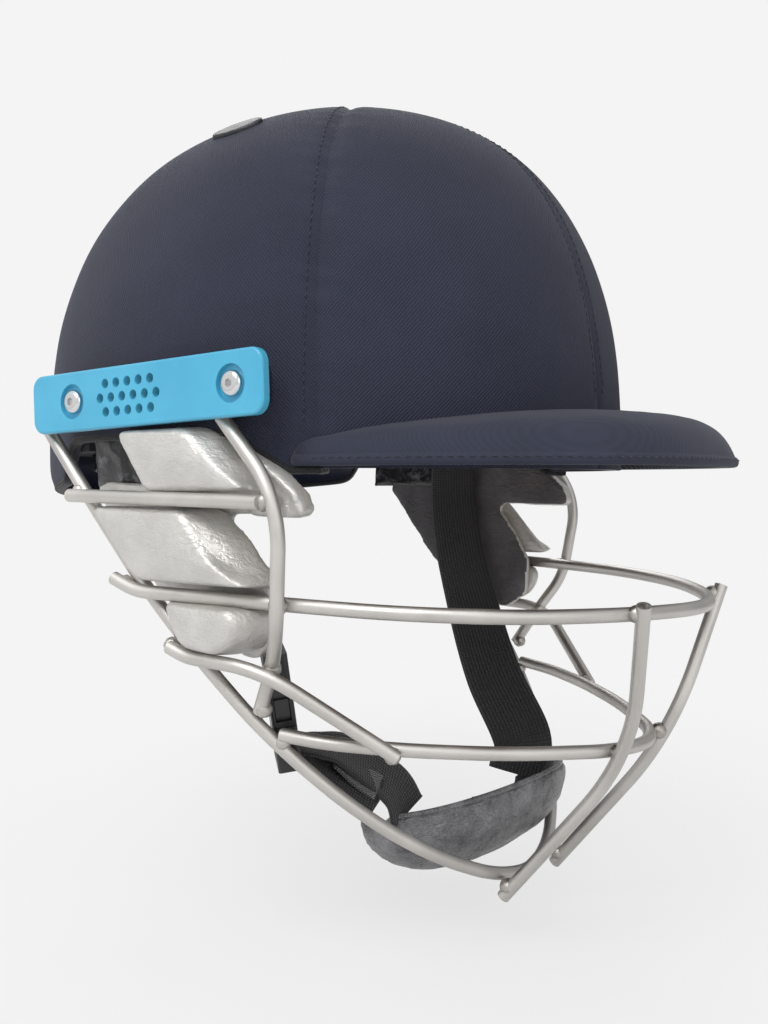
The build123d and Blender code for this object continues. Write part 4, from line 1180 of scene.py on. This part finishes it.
def makeWelds():
    # low lumps of filler where the tubes meet
    bm = bmesh.new()
    for x, y, z, size in weldPlaces:
        for side in (1, -1):
            ball = bmesh.ops.create_icosphere(bm, subdivisions=3, radius=size)
            for vert in ball["verts"]:
                bump = 1 + 0.1 * noise.noise(vert.co * 0.9 + Vector((x, y, z)))
                vert.co = vert.co * bump + Vector((side * x, y, z))
    for face in bm.faces:
        face.smooth = True
    bmesh.ops.scale(bm, vec=(mm, mm, mm), verts=bm.verts)
    piece = meshPiece("weldBeads", bm, "weldMetal")
    keep(piece, "helmet", "guard_metal")


makeWelds()
print("trim made")


studio = {
    "floorSize": 6.0, "floorDrop": 0.016, "background": "f4f4f4", "floorDark": "dcdcdc",
    "floorLight": "e0e0e0",
    "lens": 36.914, "sensor": 36, "place": (-0.3575, -0.2675, -0.00683), "tilt": 88.25, "heading": -55.19,
    "brightSide": (-0.72, 0.25, 0.65), "lampAim": (0, 0, -0.02),
    "lamps": (("keyLamp", (-1.2, -0.1, 1.3), 1.0, 16), ("fillLamp", (-0.6, -1.5, 0.5), 1.2, 4),
              ("rimLamp", (1.0, 0.9, 1.1), 1.0, 9)),
}


def spreadOf(tree, value, low, high, least, most):
    node = addNode(tree, "ShaderNodeMapRange", {"Value": value})
    setInputs(node, From_Min=low, From_Max=high, To_Min=least, To_Max=most)
    return node.outputs[0]


def mixInto(tree, output, share, first, second):
    mix = addNode(tree, "ShaderNodeMixShader", {0: share, 1: first, 2: second})
    tree.links.new(mix.outputs[0], tree.nodes[output].inputs["Surface"])


def makeFloor():
    # pale paper that keeps the shadow near the helmet and fades to the background's own colour
    s = studio
    bpy.ops.mesh.primitive_plane_add(size=s["floorSize"], location=(0, 0, 0))
    floor = bpy.context.object
    floor.name = "floor"
    for vert in floor.data.vertices:
        vert.co.z = cadBox[0][2] - s["floorDrop"]
    material, tree, shader = newMaterial("paleFloorPaper")
    fibre = noiseAt(tree, coordsOf(tree), 40, 2)
    tree.links.new(rampOf(tree, fibre, [(0.2, s["floorDark"]), (0.8, s["floorLight"])]),
                   shader.inputs["Base Color"])
    setInputs(shader, Roughness=0.9)
    glow = addNode(tree, "ShaderNodeEmission", Strength=1.0, Color=colour(s["background"]))
    spot = addNode(tree, "ShaderNodeVectorMath", {0: addNode(tree, "ShaderNodeTexCoord").outputs["Object"]},
                   operation="LENGTH")
    fade = spreadOf(tree, spot.outputs["Value"], 0.12, 0.55, 0.68, 1.0)
    seenHere = addNode(tree, "ShaderNodeLightPath").outputs["Is Camera Ray"]
    mixInto(tree, "Material Output", mathOf(tree, "MULTIPLY", fade, seenHere), shader.outputs[0],
            glow.outputs[0])
    floor.data.materials.append(material)


def makeSky():
    # soft white light, brighter from one side, behind an even background
    world = bpy.data.worlds.new("studioSky")
    bpy.context.scene.world = world
    world.use_nodes = True
    tree = world.node_tree
    light = tree.nodes["Background"]
    setInputs(light, Color=(1, 1, 1, 1))
    skyward = addNode(tree, "ShaderNodeTexCoord").outputs["Generated"]
    facing = addNode(tree, "ShaderNodeVectorMath", {0: skyward}, operation="DOT_PRODUCT")
    facing.inputs[1].default_value = studio["brightSide"]
    tree.links.new(spreadOf(tree, facing.outputs["Value"], -0.7, 0.9, 0.3, 0.95), light.inputs["Strength"])
    seen = addNode(tree, "ShaderNodeBackground", Strength=1.0, Color=colour(studio["background"]))
    path = addNode(tree, "ShaderNodeLightPath")
    either = mathOf(tree, "MAXIMUM", path.outputs["Is Camera Ray"], path.outputs["Is Transmission Ray"])
    mixInto(tree, "World Output", either, light.outputs[0], seen.outputs[0])


def placed(name, data, place, turn):
    item = bpy.data.objects.new(name, data)
    bpy.context.collection.objects.link(item)
    item.location = place
    item.rotation_euler = turn
    return item


def makeLampsAndCamera():
    s = studio
    for name, spot, size, power in s["lamps"]:
        data = bpy.data.lights.new(name, "AREA")
        data.size = size
        data.energy = power
        placed(name, data, spot, (Vector(s["lampAim"]) - Vector(spot)).to_track_quat("-Z", "Y").to_euler())
    data = bpy.data.cameras.new("photoCamera")
    data.lens = s["lens"]
    data.sensor_width = s["sensor"]
    turn = (math.radians(s["tilt"]), 0, math.radians(s["heading"]))
    bpy.context.scene.camera = placed("photoCamera", data, s["place"], turn)
    bpy.context.scene.view_settings.view_transform = "Standard"


makeFloor()
makeSky()
makeLampsAndCamera()
print("stage set")
